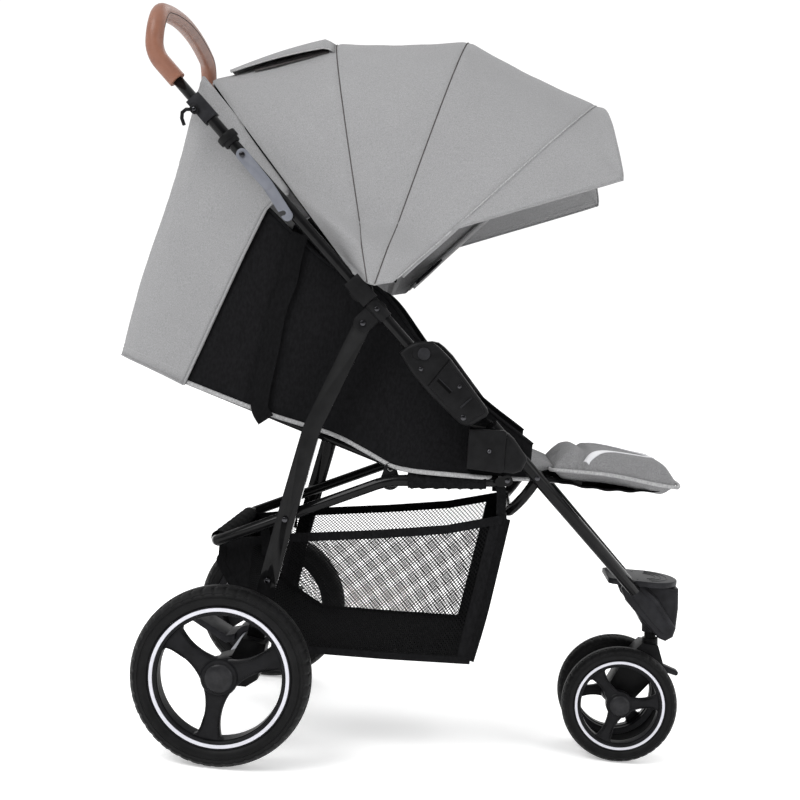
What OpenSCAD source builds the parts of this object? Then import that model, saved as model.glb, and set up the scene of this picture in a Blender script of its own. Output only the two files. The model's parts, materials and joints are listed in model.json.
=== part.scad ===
// Three-wheel stroller. Millimetres, +X forwards, +Y to the rider's left, +Z up.
// Side-view points are [X, Z], with X measured forwards from the rear axle and Z up from the ground.

/* [Wheels] */
// Radius of each rear tyre
rear_wheel_r = 130; // [122:1:132]
// Radius of each front tyre
front_wheel_r = 90; // [82:1:92]
// Width of each rear tyre
rear_tyre_w = 44; // [36:1:46]
// Width of each front tyre
front_tyre_w = 32; // [26:1:34]
// From the middle of the part to the middle of a rear tyre
rear_track = 270; // [268:1:285]
// From the middle of the part to the middle of a front tyre
front_track = 47; // [46:1:50]

/* [Frame tubes] */
// Lean of the handle and side tubes above the ground plane, in degrees
frame_tilt = 43.8; // [43.5:0.1:44]
// From the middle of the part to a side tube
frame_w = 210; // [209:0.5:212]
// Radius of a side tube
tube_r = 8.5; // [8:0.1:9]
// Radius of the handle tube that slides in a side tube
handle_tube_r = 7; // [6:0.1:7.1]
// Radius of a front leg
front_leg_r = 9.5; // [8:0.1:10]
// Width of a rear leg, seen from the side
rear_leg_wide = 26; // [20:1:28]
// Radius of the seat frame tube
base_tube_r = 8.5; // [7:0.1:8.5]
// Outer radius of the handle grip
grip_r = 13; // [11:0.5:14]

/* [Canopy] */
// Angle that each canopy panel spans, in degrees
panel_span = 29; // [26:0.5:30]
// Angle of the rear canopy bow, from straight ahead, in degrees
rear_bow_angle = 131; // [129:0.5:132]
// Thickness of the canopy cloth shells
cloth_t = 1.6; // [1.2:0.1:2]

/* [Seat] */
// Half the width of the seat
seat_w = 160; // [150:1:161]
// Angle of the backrest above the ground plane, in degrees
recline = 17; // [15:0.5:18]
// Length of the backrest frame
back_len = 392; // [360:1:400]

/* [Hidden] */
axle_back = 246;
clear = 0.05;
rivet_r = 4;
round_fn = 48;

// Points on the side view
frame_foot = [225, 619];
fold_pivot = [310.5, 525];
rear_leg_pivot = [154, 647];
base_rear_pivot = [65, 352];
base_front_pivot = [383, 437];
back_pivot = [210, 437];
legrest_pivot = [493, 437];
leg_top = [352, 517];
leg_foot = [600, 272];
leg_top_w = 204;
leg_foot_w = 60;
rear_leg_w = 200;
base_w = 180;
stem_foot = [638, 202];
stem_rake = 5.2;
front_axle_at = [594, front_wheel_r];
rear_leg_line = [[154, 647], [125, 575], [92, 486], [65, 352], [47, 256], [32, 140]];
rear_bar = [-39, 306];
front_bar = [392, 382];
hook_stud = [48, 262];

function up_frame(d) = frame_foot + d * [-cos(frame_tilt), sin(frame_tilt)];
function at(p, y) = [p.x, y, p.y];
function leg_y(x) = leg_top_w + (leg_foot_w - leg_top_w) * (x - leg_top.x) / (leg_foot.x - leg_top.x);
function leg_z(x) = leg_top.y + (leg_foot.y - leg_top.y) * (x - leg_top.x) / (leg_foot.x - leg_top.x);
function polar(r, a) = r * [cos(a), sin(a)];
function unit(v) = v / norm(v);

// Outline of a bar with round ends, from p to q
function capsule(p, q, rp, rq, n = 10) =
    let (a = atan2(q.y - p.y, q.x - p.x))
    concat([for (i = [0:n]) p + polar(rp, a + 90 + 180 * i / n)],
           [for (i = [0:n]) q + polar(rq, a - 90 + 180 * i / n)]);

// Outline of a strip of half width w along a line of points
function across(p, i) = let (a = p[max(i - 1, 0)], b = p[min(i + 1, len(p) - 1)], t = unit(b - a)) [-t.y, t.x];
function strip(p, w) = concat([for (i = [0:len(p) - 1]) p[i] + w * across(p, i)],
                              [for (i = [len(p) - 1:-1:0]) p[i] - w * across(p, i)]);

module both_sides() {
    children();
    mirror([0, 1, 0]) children();
}

module rod(a, b, r) {
    v = b - a;
    translate(a) rotate([0, acos(v.z / norm(v)), atan2(v.y, v.x)]) cylinder(h = norm(v), r = r, $fn = round_fn);
}

// A tube bent along points, each corner turned in a short curve
function eased(p, cut = 14) = concat([p[0]],
    [for (i = [1:len(p) - 2]) let (a = p[i] + cut * unit(p[i - 1] - p[i]), b = p[i] + cut * unit(p[i + 1] - p[i]))
        each [a, (a + 2 * p[i] + b) / 4, b]],
    [p[len(p) - 1]]);

module bent_rod(p, r, ref) {
    swept(eased(p), r, 0, 12, ref);
}

module pin(p, y0, y1, r) {
    rod(at(p, y0), at(p, y1), r);
}

module plate(outline, y0, y1) {
    translate([0, y1, 0]) rotate([90, 0, 0]) linear_extrude(height = y1 - y0) polygon(outline);
}

// Moves from the side-view points to the part's own origin, on the ground at the middle of its length
module placed() {
    translate([-axle_back, 0, 0]) children();
}

// A tube swept along points, with a bore of radius ri where ri is over 0
module swept(path, r, ri, sides = 16, ref = [1, 0, 0]) {
    n = len(path);
    tangents = [for (i = [0:n - 1]) unit(path[min(i + 1, n - 1)] - path[max(i - 1, 0)])];
    function ring(i, rad) =
        let (u = unit(cross(tangents[i], ref)), v = cross(tangents[i], u))
        [for (k = [0:sides - 1]) path[i] + rad * (cos(360 * k / sides) * u + sin(360 * k / sides) * v)];
    outer = [for (i = [0:n - 1]) each ring(i, r)];
    inner = [for (i = [0:n - 1]) each ring(i, ri)];
    m = n * sides;
    function q(i, k) = i * sides + (k % sides);
    function two(a, b, c, d) = [[a, c, b], [a, d, c]];
    wall = [for (i = [0:n - 2], k = [0:sides - 1]) each two(q(i, k), q(i, k + 1), q(i + 1, k + 1), q(i + 1, k))];
    bore = [for (i = [0:n - 2], k = [0:sides - 1])
        each two(m + q(i + 1, k), m + q(i + 1, k + 1), m + q(i, k + 1), m + q(i, k))];
    if (ri > 0) {
        ends = [for (k = [0:sides - 1]) each concat(
            two(m + q(0, k), m + q(0, k + 1), q(0, k + 1), q(0, k)),
            two(q(n - 1, k), q(n - 1, k + 1), m + q(n - 1, k + 1), m + q(n - 1, k)))];
        polyhedron(concat(outer, inner), concat(wall, bore, ends), convexity = 6);
    } else {
        caps = [for (k = [1:sides - 2]) each [[q(0, 0), q(0, k), q(0, k + 1)],
            [q(n - 1, 0), q(n - 1, k + 1), q(n - 1, k)]]];
        polyhedron(outer, concat(wall, caps), convexity = 6);
    }
}

// ---- Upper frame ----

tube_foot = -30;
tube_head = 458;
latch_at = 456;
latch_len = 41;
collar_at = 400;
hook_at = 366;
canopy_at = 108;
pivot = up_frame(canopy_at);
latch_pin = up_frame(latch_at + 3) + polar(9, frame_tilt - 180);

module side_tube(y) {
    difference() {
        rod(at(up_frame(tube_foot), y), at(up_frame(tube_head), y), tube_r);
        rod(at(up_frame(tube_foot + 260), y), at(up_frame(tube_head + 1), y), handle_tube_r + 0.08);
    }
}

module upper_tubes() {
    color("black") both_sides() side_tube(frame_w);
}

module lock_collars() {
    color("dimgray") both_sides() difference() {
        union() {
            rod(at(up_frame(collar_at - 5), frame_w), at(up_frame(collar_at + 6), frame_w), 15);
            rod(at(up_frame(collar_at - 12), frame_w), at(up_frame(collar_at - 5), frame_w), 12);
        }
        rod(at(up_frame(collar_at - 20), frame_w), at(up_frame(collar_at + 20), frame_w), tube_r + clear);
    }
}

// A block with its long side along the side tube, centred d along it
module along_frame(d, y) {
    translate(at(up_frame(d), y)) rotate([0, -90 + frame_tilt, 0]) children();
}

module latch_housings() {
    half_w = 11;
    color("dimgray") both_sides() difference() {
        along_frame(latch_at, frame_w) translate([-11.5, -half_w, -latch_len / 2]) cube([23, 2 * half_w, latch_len]);
        rod(at(up_frame(latch_at - 30), frame_w), at(up_frame(tube_head + 0.2), frame_w), tube_r + clear);
        rod(at(up_frame(latch_at - 30), frame_w), at(up_frame(latch_at + 30), frame_w), handle_tube_r + 0.08);
        pin(latch_pin, frame_w + half_w - 3.2, frame_w + half_w + 5, rivet_r - 0.95);
    }
}

module leg_brackets() {
    top = up_frame(72);
    color("dimgray") both_sides() difference() {
        union() {
            plate(capsule(top, rear_leg_pivot, 13, 14), 209, 212);
            plate(capsule(top, rear_leg_pivot, 13, 14), 188, 191);
            rod(at(up_frame(54), frame_w), at(up_frame(86), frame_w), tube_r + 2.2);
            pin(top, 190, frame_w, 8);
        }
        rod(at(up_frame(40), frame_w), at(up_frame(110), frame_w), tube_r + clear);
        pin(rear_leg_pivot, 180, 220, rivet_r + clear);
        pin(top, 180, 225, 3);
    }
}

module canopy_mounts() {
    mount_r = 17;
    color("black") both_sides() difference() {
        union() {
            along_frame(canopy_at, frame_w) translate([-12.5, -8, -21]) cube([25, 20.5, 42]);
            pin(pivot, 200.9, frame_w, mount_r);
        }
        rod(at(up_frame(canopy_at - 40), frame_w), at(up_frame(canopy_at + 40), frame_w), tube_r + clear);
    }
}

housing_outline = [
    [211, 608], [225, 624], [241, 628.5], [260, 622], [282, 607], [345, 538], [343, 526], [330, 514],
    [311, 513], [256, 564]
];
button_at = [246.5, 611];

module fold_housings() {
    color("dimgray") both_sides() difference() {
        plate(housing_outline, 198.5, 232);
        rod(at(up_frame(tube_foot - 0.2), frame_w), at(up_frame(80), frame_w), tube_r + clear);
        pin(fold_pivot, 190, 240, rivet_r + clear);
        pin(button_at, 224, 240, 9.1);
        for (p = [[244, 589], [301, 569]]) pin(p, 221, 240, 3);
        rod([298, 221, 569 - 34], [282, 221, 569 - 18], 3);
    }
}

module frame_rivets() {
    color("silver") both_sides() {
        pin(fold_pivot, 190.5, 234, rivet_r);
        pin(rear_leg_pivot, 186, 214.5, rivet_r);
        for (p = [[244, 589], [301, 569]]) pin(p, 221, 233.5, 3);
        pin(up_frame(72), 220.8, 223, 3.5);
    }
    color("silver") mirror([0, 1, 0]) pin(up_frame(hook_at), frame_w + tube_r + clear, 226, rivet_r);
    color("silver") both_sides() {
        pin(pivot, 172, 200.85, rivet_r);
        pin(latch_pin, frame_w + 8, frame_w + 20, rivet_r - 1);
    }
}

module release_button(s) {
    color("dimgray") scale([1, s, 1]) pin(button_at, 228, 233.5, 9);
}

// ---- Canopy: nested shells that turn about one pivot ----

bow_r = [384, 392, 404, 438];
bow_w = [168, 178, 186, 193.5];
panel_r = [389, 399, 433, 449];
panel_w = [175.5, 183.5, 191.5, 199.6];
bow_t = 3.2;
bow_wide = 9;
canopy_corner = 62;
cloth_foot = 34;

// A bow or panel section: straight sides from a radius of foot, round corners and a straight top
function hoop(r, w, c, foot, n = 8) = concat(
    [[foot, -w]], [for (i = [0:n]) [r - c, -w + c] + polar(c, -90 + 90 * i / n)],
    [for (i = [0:n]) [r - c, w - c] + polar(c, 90 * i / n)], [[foot, w]]);

function hoop_wall(r, w, t, foot) =
    concat(hoop(r, w, canopy_corner, foot), reversed(hoop(r - t, w - t, canopy_corner - t, foot)));

function reversed(p) = [for (i = [len(p) - 1:-1:0]) p[i]];

module canopy_shell(r, w, t, a0, a1) {
    translate(at(pivot, 0)) rotate([90, 0, 0]) rotate([0, 0, a0])
        rotate_extrude(angle = a1 - a0, $fn = 120) polygon(hoop_wall(r, w, t, cloth_foot));
}

// A flat spring-steel bow with a round eye at each end
module bow(i, angle) {
    eye_lip = 0.4;
    difference() {
        union() {
            translate(at(pivot, 0)) rotate([0, -angle, 0]) translate([0, 0, -bow_wide / 2])
                linear_extrude(height = bow_wide) polygon(hoop_wall(bow_r[i] + bow_t, bow_w[i] + bow_t, bow_t, 0));
            both_sides() pin(pivot, bow_w[i] - eye_lip, bow_w[i] + bow_t + eye_lip, 12);
        }
        both_sides() pin(pivot, bow_w[i] - 1, bow_w[i] + bow_t + 1, rivet_r + clear);
    }
}

function bow_angle(i) = rear_bow_angle - panel_span * i;

module canopy_rear_bow() {
    color("black") bow(0, bow_angle(0));
}

module canopy_rear_panel() {
    color("lightgray") canopy_shell(panel_r[0], panel_w[0], cloth_t, bow_angle(1) + 1, bow_angle(0) + 0.8);
}

module canopy_bow_2() {
    color("black") bow(1, bow_angle(1));
}

module canopy_bow_3() {
    color("black") bow(2, bow_angle(2));
}

module canopy_bow_4() {
    color("black") bow(3, bow_angle(3));
}

module canopy_cover() {
    color("lightgray") canopy_shell(panel_r[3], panel_w[3], cloth_t, 28, bow_angle(3) + 2);
}

module canopy_panel_2() {
    color("lightgray") canopy_shell(panel_r[1], panel_w[1], cloth_t, bow_angle(2) + 1, bow_angle(1) + 2);
}

module canopy_panel_3() {
    color("lightgray") canopy_shell(panel_r[2], panel_w[2], cloth_t, bow_angle(3) + 1, bow_angle(2) + 2);
}

// ---- Cloth behind and beside the seat ----

cloth_side_w = 163;
drape_outline = [[-112, 980], [-122, 929], [-193, 575]];
drape_front = [[-108, 533], [-5, 812], [-60, 870]];

module rear_drape() {
    color("lightgray") {
        plate(concat(drape_outline, [drape_outline[2] + [2, 0], drape_outline[1] + [2, 0],
            drape_outline[0] + [2, 0]]), -170, 170);
        both_sides() plate(concat([for (p = drape_outline) p + [2, 0]], drape_front), 168.4, 170);
    }
}

module side_panels() {
    color("black") both_sides() plate([[-106, 538], [-5, 806], [100, 730], [300, 560], [400, 476],
        [380, 452], [222, 448]], cloth_side_w, cloth_side_w + 1.6);
}

module back_straps() {
    color("black") both_sides() plate(strip([[45, 768], [38, 715], [24, 660], [19, 580], [14, 500], [24, 482],
        [70, 474]], 13), 171, 172.5);
}

// ---- Handle ----

bend_r = 45;
corner_r = 45;
crown_lift = 10;
handle_left = -182;
bend_from = (frame_foot.x - handle_left - bend_r * (1 - sin(frame_tilt))) / cos(frame_tilt);
bend_centre = up_frame(bend_from) + polar(bend_r, 90 - frame_tilt);
corner_z = bend_centre.y + 3;
crown_y = frame_w - corner_r * (1 - sin(crown_lift));
crown_r = crown_y / sin(crown_lift);

// Half of the handle's arch, from its straight end to its crown
half_arch = concat(
    [at(up_frame(bend_from - 34), -frame_w), at(up_frame(bend_from - 12), -frame_w)],
    [for (a = [0:15:45]) at(bend_centre + polar(bend_r, 180 + (90 - frame_tilt) * (a / 45 - 1)), -frame_w)],
    [for (a = [0:16:80]) [handle_left, -frame_w + corner_r * (1 - cos(a)), corner_z + corner_r * sin(a)]],
    [for (a = [-8:2:0]) [handle_left, crown_r * sin(a), corner_z + corner_r * cos(crown_lift)
        + crown_r * (cos(a) - cos(crown_lift))]]);
arch = concat(half_arch, [for (i = [len(half_arch) - 2:-1:0]) [half_arch[i].x, -half_arch[i].y, half_arch[i].z]]);

module handle_tube() {
    color("black")
        swept(concat([at(up_frame(300), -frame_w)], arch, [at(up_frame(300), frame_w)]), handle_tube_r, 0);
}

module handle_grip() {
    color("sienna") swept(arch, grip_r, handle_tube_r + 0.4);
}

// A finger lever that hooks over the rear edge of the latch housing
module latch_lever(s) {
    back = polar(1, frame_tilt - 180);
    up = polar(1, 180 - frame_tilt);
    p = [for (q = [[0, 0], [9, 8], [16, 8], [22, 2], [26, -8]]) latch_pin + q.x * back + q.y * up];
    color("dimgray") scale([1, s, 1]) difference() {
        union() {
            plate(strip(p, 2.4), frame_w + 11.4, frame_w + 16.4);
            plate(capsule(latch_pin, latch_pin + up, 6.5, 6.5), frame_w + 11.4, frame_w + 16.4);
        }
        pin(latch_pin, frame_w + 8, frame_w + 21, rivet_r - 1 + clear);
    }
}

module lock_hook() {
    at_pin = up_frame(hook_at);
    bend = at_pin + [40, -40];
    tip = [33, 791];
    notch = [27, 794];
    color("gray") mirror([0, 1, 0]) difference() {
        plate(capsule(at_pin, bend, 9, 8), 220, 223.5);
        pin(at_pin, 210, 230, rivet_r + clear);
    }
    color("gray") mirror([0, 1, 0]) difference() {
        plate(capsule(bend, tip, 8, 8), 220, 223.5);
        plate(capsule(notch, notch + [-16, -6], 3.6, 3.6), 219, 225);
        plate(capsule(at_pin, bend, 9.05, 8.05), 219, 225);
    }
}

// ---- Front legs and hub ----

module front_leg(y_sign) {
    scale([1, y_sign, 1]) rod(at(leg_top, leg_top_w), at(leg_foot, leg_foot_w), front_leg_r);
}

module front_leg_tubes() {
    color("black") both_sides() difference() {
        union() {
            front_leg(1);
            plate(capsule(fold_pivot, leg_top + [6, -5], 10, 8), 193, 197.8);
        }
        pin(fold_pivot, 180, 220, rivet_r + clear);
    }
}

cross_at = [427, leg_z(427)];

module front_cross_tube() {
    inner = leg_y(cross_at.x) - front_leg_r - 1.5;
    half = [[cross_at.x, inner - 2, cross_at.y - 6], [412, inner - 20, 408], [front_bar.x, inner - 36, front_bar.y]];
    color("black") {
        bent_rod(concat(half, [for (i = [2:-1:0]) [half[i].x, -half[i].y, half[i].z]]), 8, [1, 0, 0]);
        both_sides() pin(cross_at, inner - 0.9, inner, 11);
    }
}

module knee_blocks() {
    block_top = leg_top.x - 40;
    color("dimgray") both_sides() difference() {
        union() {
            plate([[320, 450], [384, 450], [416, 466], [424, 476], [386, 500], [364, 508], [320, 508]], 170, 197.4);
            plate(capsule(base_front_pivot, base_front_pivot + [0, 26], 9, 9), 165.2, 170.9);
        }
        pin(base_front_pivot, 160, 180, rivet_r - 0.1);
        rod(at([block_top, leg_z(block_top)], leg_y(block_top)), at(leg_foot, leg_foot_w), front_leg_r + clear);
        plate(capsule(fold_pivot, leg_top + [6, -5], 10.4, 8.4), 192.6, 198);
    }
}

module along_stem() {
    translate(at(stem_foot, 0)) rotate([0, -stem_rake, 0]) children();
}

hub_outline = [[588, 262], [606, 282], [650, 280], [672, 274], [674, 210], [662, 193], [648, 196], [622, 212],
    [602, 246]];

module front_hub() {
    socket = [590, leg_z(590)];
    color("dimgray") difference() {
        union() {
            plate(hub_outline, -34, 34);
            both_sides() hull() {
                rod(at(socket, leg_y(socket.x)), at([606, leg_z(606)], leg_y(606)), 14);
                pin([655, 205], 14, 30, 13);
            }
            translate([0, 0, 278]) linear_extrude(height = 9) polygon(concat(
                [for (a = [-80:20:80]) [622, 0] + [50 * cos(a), 60 * sin(a)]], [[558, 52], [558, -52]]));
        }
        both_sides() rod(at(leg_top, leg_top_w), at(leg_foot, leg_foot_w), front_leg_r + clear);
        along_stem() translate([0, 0, -30]) cylinder(h = 84, r = 13, $fn = round_fn);
    }
}

module swivel_bushes() {
    color("gray") for (z = [-2, 36]) along_stem() translate([0, 0, z]) difference() {
        cylinder(h = 14, r = 12.95, $fn = round_fn);
        translate([0, 0, -1]) cylinder(h = 16, r = 9.05, $fn = round_fn);
    }
}

module front_leg_rivets() {
    color("silver") both_sides() {
        pin([356, 479], 197.5, 199.5, 4);
        pin(base_front_pivot, 165.2, 192.5, rivet_r - 0.1);
        pin(cross_at, leg_y(cross_at.x) + front_leg_r + 0.6, leg_y(cross_at.x) + front_leg_r + 3, 4);
    }
}

// ---- Caster and front wheels ----

yoke_w = front_track - front_tyre_w / 2 - 6;

module caster_fork() {
    color("black") difference() {
        union() {
            along_stem() translate([0, 0, -22]) cylinder(h = 74, r = 9, $fn = round_fn);
            along_stem() translate([0, 0, -30]) cylinder(h = 18, r = 12.5, $fn = round_fn);
            plate([[650, 182], [624, 184], [596, 150], [572, 100], [584, 74], [604, 74], [640, 120], [662, 150]],
                -yoke_w, yoke_w);
        }
        pin(front_axle_at, -60, 60, 5 + clear);
        pin(swivel_lock_pin, -60, 60, 2.5 + clear);
        plate([[640, 160], [680, 170], [680, 110], [646, 118]], -9, 9);
    }
}

swivel_lock_pin = [650, 148];

module front_axle() {
    hub_end = front_track + front_tyre_w / 2;
    color("silver") {
        pin(front_axle_at, -hub_end + 2, hub_end - 2, 5);
        pin(swivel_lock_pin, -yoke_w, yoke_w, 2.5);
    }
}

module swivel_lock_lever() {
    color("gray") difference() {
        plate(capsule(swivel_lock_pin, [684, 138], 5.5, 4), -8.6, 8.6);
        pin(swivel_lock_pin, -20, 20, 2.5 + clear * 2);
    }
}

// ---- Wheels: tyre, spoked rim and hub cap, about the Y axis ----

module about(p, y) {
    translate(at(p, y)) rotate([90, 0, 0]) children();
}

function tyre_section(r, w, deep) = [
    [r - deep, -w * 0.36], [r - deep * 0.55, -w * 0.5], [r - deep * 0.2, -w * 0.47], [r - 1, -w * 0.2],
    [r, 0], [r - 1, w * 0.2], [r - deep * 0.2, w * 0.47], [r - deep * 0.55, w * 0.5], [r - deep, w * 0.36]];

module tyre(p, y, r, w, deep) {
    color("black") about(p, y) rotate_extrude($fn = 120) polygon(tyre_section(r, w, deep));
}

// A rim with three spokes; start is the first spoke's angle and the windows are cut between them
module rim(p, y, rim_r, w, hub_r, axle_r, start) {
    ring_in = rim_r * 0.87;
    color("dimgray") about(p, y) {
        difference() {
            union() {
                difference() {
                    translate([0, 0, -w * 0.36]) cylinder(h = w * 0.72, r = rim_r - 0.05, $fn = 96);
                    translate([0, 0, -w]) cylinder(h = 2 * w, r = ring_in, $fn = 96);
                }
                translate([0, 0, -w * 0.5 + 1]) cylinder(h = w - 2, r = hub_r, $fn = round_fn);
                for (k = [0:2]) rotate([0, 0, start + 120 * k]) translate([0, 0, -w * 0.16]) linear_extrude(
                    height = w * 0.32) polygon([[0, -hub_r * 0.8], [ring_in * 0.6, -rim_r * 0.16],
                    [ring_in + 2, -rim_r * 0.24], [ring_in + 2, rim_r * 0.24], [ring_in * 0.6, rim_r * 0.16],
                    [0, hub_r * 0.8]]);
            }
            translate([0, 0, -w]) cylinder(h = 2 * w, r = axle_r + clear, $fn = round_fn);
        }
    }
}

module cap(p, y, r, thick) {
    color("black") rod(at(p, y), at(p, y + thick), r);
}

rear_rim_r = rear_wheel_r - 27;
front_rim_r = front_wheel_r - 19;

module rear_tyre(s) {
    tyre([0, rear_wheel_r], s * rear_track, rear_wheel_r, rear_tyre_w, 27);
}

module rear_rim(s) {
    rim([0, rear_wheel_r], s * rear_track, rear_rim_r, rear_tyre_w, 22, 5, s < 0 ? 24 : 84);
}

module rear_cap(s) {
    cap([0, rear_wheel_r], s * (rear_track + rear_tyre_w / 2 - 1), 20, s * 4.5);
}

module front_tyre(s) {
    tyre(front_axle_at, s * front_track, front_wheel_r, front_tyre_w, 19);
}

module front_rim(s) {
    cap(front_axle_at, s * (front_track + front_tyre_w / 2 - 1.5), 15, s * 4);
    rim(front_axle_at, s * front_track, front_rim_r, front_tyre_w, 16, 5, s < 0 ? 10 : 70);
}

// ---- Rear legs, axle and brake ----

module rear_leg_tubes() {
    color("black") both_sides() difference() {
        union() {
            plate(strip(rear_leg_line, rear_leg_wide / 2), rear_leg_w - 8, rear_leg_w + 8);
            pin(rear_leg_pivot, rear_leg_w - 8.5, rear_leg_w + 8.5, rear_leg_wide / 2 + 0.5);
        }
        pin(rear_leg_pivot, 180, 220, rivet_r + clear);
        for (p = [base_rear_pivot, hook_stud]) pin(p, 180, 220, rivet_r + 0.02);
    }
}

axle_at = [0, rear_wheel_r];

module axle_housings() {
    color("dimgray") both_sides() difference() {
        plate([[-16, 118], [-14, 144], [8, 152], [20, 178], [56, 172], [48, 120], [32, 108], [4, 108]], 189.5, 236);
        plate(strip(rear_leg_line, rear_leg_wide / 2 + clear), rear_leg_w - 8 - clear, rear_leg_w + 8 + clear);
        pin(axle_at, 180, 240, 5 + clear);
        pin(axle_at, 180, 196, 11 + clear);
    }
}

module rear_axle() {
    axle_end = rear_track + rear_tyre_w / 2 - 1;
    color("dimgray") {
        pin(axle_at, -axle_end, axle_end, 5);
        pin(axle_at, -195.9, 195.9, 11);
    }
}

module leg_rivets() {
    color("silver") both_sides() {
        pin(base_rear_pivot, base_w + base_tube_r + 0.3, 212, rivet_r);
        pin(hook_stud, 191, 220, rivet_r);
    }
}

module brake_pedal() {
    pedal = [[-20, 126], [-34, 122], [-96, 156], [-92, 164], [-34, 134], [-20, 138]];
    color("dimgray") difference() {
        union() {
            plate(pedal, -34, 34);
            pin(axle_at, -24, 24, 21);
        }
        pin(axle_at, -40, 40, 11 + clear);
    }
}

// ---- Seat frame ----

base_line = [rear_bar, base_rear_pivot, [205, 419], [235, 423], [370, 434]];
arm_w = 94;

module base_tube() {
    half = [for (i = [len(base_line) - 1:-1:0]) at(base_line[i], base_w)];
    color("black") bent_rod(concat(half, [for (p = base_line) at(p, -base_w)]), base_tube_r, [0, 1, 1]);
}

module base_brackets() {
    color("dimgray") both_sides() difference() {
        plate(capsule(back_pivot, [211, 420], 9, 15), 165.2, 171.2);
        pin(back_pivot, 160, 176, rivet_r + clear);
    }
    color("silver") both_sides() pin(back_pivot, 146, 165.15, rivet_r);
}

// Cross tubes under the seat, the arms that carry the legrest and the plates at the front pivot
module base_cross_tubes() {
    inside = base_w - base_tube_r - 0.1;
    color("black") difference() {
        union() {
            for (x = [250, 360]) rod([x, -inside, 424 + (x - 250) / 13], [x, inside, 424 + (x - 250) / 13], 6.5);
            both_sides() {
                rod([360, arm_w, 432.4], at(legrest_pivot, arm_w), 5);
                pin(legrest_pivot, arm_w - 5, arm_w + 5, 7);
            }
        }
        both_sides() pin(legrest_pivot, 60, 120, 3);
    }
    color("dimgray") both_sides() difference() {
        plate(capsule(base_front_pivot, [372, 434], 8, 7), base_w + 8.6, base_w + 12);
        pin(base_front_pivot, 160, 195, rivet_r - 0.1 + clear);
    }
}

basket_w = 158;
basket_out = [[-26, 292], [70, 318], [203, 338], [300, 352], [372, 366], [352, 160], [112, 160], [30, 196]];
basket_in = [[-18, 296], [70, 322], [203, 342], [300, 356], [368, 370], [348, 164], [114, 164], [34, 199]];

module basket() {
    wall = 3;
    color("black") difference() {
        plate(basket_out, -basket_w, basket_w);
        plate(basket_in, -basket_w + wall, basket_w - wall);
    }
}

module seat_pad() {
    color("gray") translate([0, 0, 446]) linear_extrude(height = 20) polygon([
        [226, -seat_w], [396, -seat_w], [420, -136], [470, -110], [470, 110], [420, 136], [396, seat_w], [226, seat_w]]);
}

module harness_buckle() {
    color("dimgray") plate([[326, 470], [322, 500], [330, 504], [336, 500], [336, 470]], -22, 22);
    color("black") plate([[329, 466.2], [329, 470.2], [332, 470.2], [332, 466.2]], -15, 15);
}

// ---- Backrest ----

function on_back(s, up) = back_pivot + s * [-cos(recline), sin(recline)] + up * [sin(recline), cos(recline)];

module backrest_frame() {
    side = 153;
    color("black") difference() {
        union() {
            bent_rod([at(on_back(0, 0), side), at(on_back(back_len - 30, 0), side),
                at(on_back(back_len, 0), side - 34), at(on_back(back_len, 0), 34 - side),
                at(on_back(back_len - 30, 0), -side), at(on_back(0, 0), -side)], 6.5, [0, 0, 1]);
            both_sides() pin(back_pivot, side - 6.4, side + 7.4, 9);
        }
        both_sides() pin(back_pivot, 140, 175, rivet_r + clear);
    }
}

module backrest_pad() {
    color("gray") plate([on_back(16, 7.5), on_back(back_len + 8, 7.5), on_back(back_len + 8, 29), on_back(30, 29)],
        -seat_w, seat_w);
}

module harness_straps() {
    color("black") both_sides() plate([on_back(60, 29.5), on_back(330, 29.5), on_back(330, 32), on_back(60, 32)],
        30, 62);
}

// ---- Legrest ----

module legrest_frame() {
    side = 82;
    color("black") {
        bent_rod([at(legrest_pivot, side), [612, side, 441], [624, side - 16, 441], [624, 16 - side, 441],
            [612, -side, 441], at(legrest_pivot, -side)], 5, [0, 0, 1]);
        both_sides() {
            pin(legrest_pivot, side - 5, side + 5, 7);
            pin(legrest_pivot, side - 5, arm_w + 7, 2.95);
        }
    }
}

module legrest_pad() {
    color("gray") plate([[474, 447], [640, 452], [640, 466], [474, 466]], -128, 128);
}

placed() upper_tubes();
placed() lock_collars();
placed() latch_housings();
placed() leg_brackets();
placed() canopy_mounts();
placed() fold_housings();
placed() frame_rivets();
placed() canopy_rear_bow();
placed() canopy_rear_panel();
placed() rear_drape();
placed() side_panels();
placed() back_straps();
placed() release_button(1);  // release_button_left
placed() release_button(-1);  // release_button_right
placed() handle_tube();
placed() handle_grip();
placed() latch_lever(1);  // latch_lever_left
placed() latch_lever(-1);  // latch_lever_right
placed() lock_hook();
placed() front_leg_tubes();
placed() front_cross_tube();
placed() knee_blocks();
placed() front_hub();
placed() swivel_bushes();
placed() front_leg_rivets();
placed() caster_fork();
placed() front_axle();
placed() swivel_lock_lever();
placed() front_tyre(1);  // front_tyre_left
placed() front_rim(1);  // front_rim_left
placed() front_tyre(-1);  // front_tyre_right
placed() front_rim(-1);  // front_rim_right
placed() rear_tyre(1);  // rear_tyre_left
placed() rear_rim(1);  // rear_rim_left
placed() rear_cap(1);  // rear_cap_left
placed() rear_tyre(-1);  // rear_tyre_right
placed() rear_rim(-1);  // rear_rim_right
placed() rear_cap(-1);  // rear_cap_right
placed() rear_leg_tubes();
placed() axle_housings();
placed() rear_axle();
placed() leg_rivets();
placed() brake_pedal();
placed() base_tube();
placed() base_cross_tubes();
placed() base_brackets();
placed() basket();
placed() seat_pad();
placed() harness_buckle();
placed() backrest_frame();
placed() backrest_pad();
placed() harness_straps();
placed() legrest_frame();
placed() legrest_pad();
placed() canopy_bow_2();
placed() canopy_bow_3();
placed() canopy_bow_4();
placed() canopy_panel_2();
placed() canopy_panel_3();
placed() canopy_cover();
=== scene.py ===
import bpy
import json
import math
from mathutils import Matrix, Vector

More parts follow.
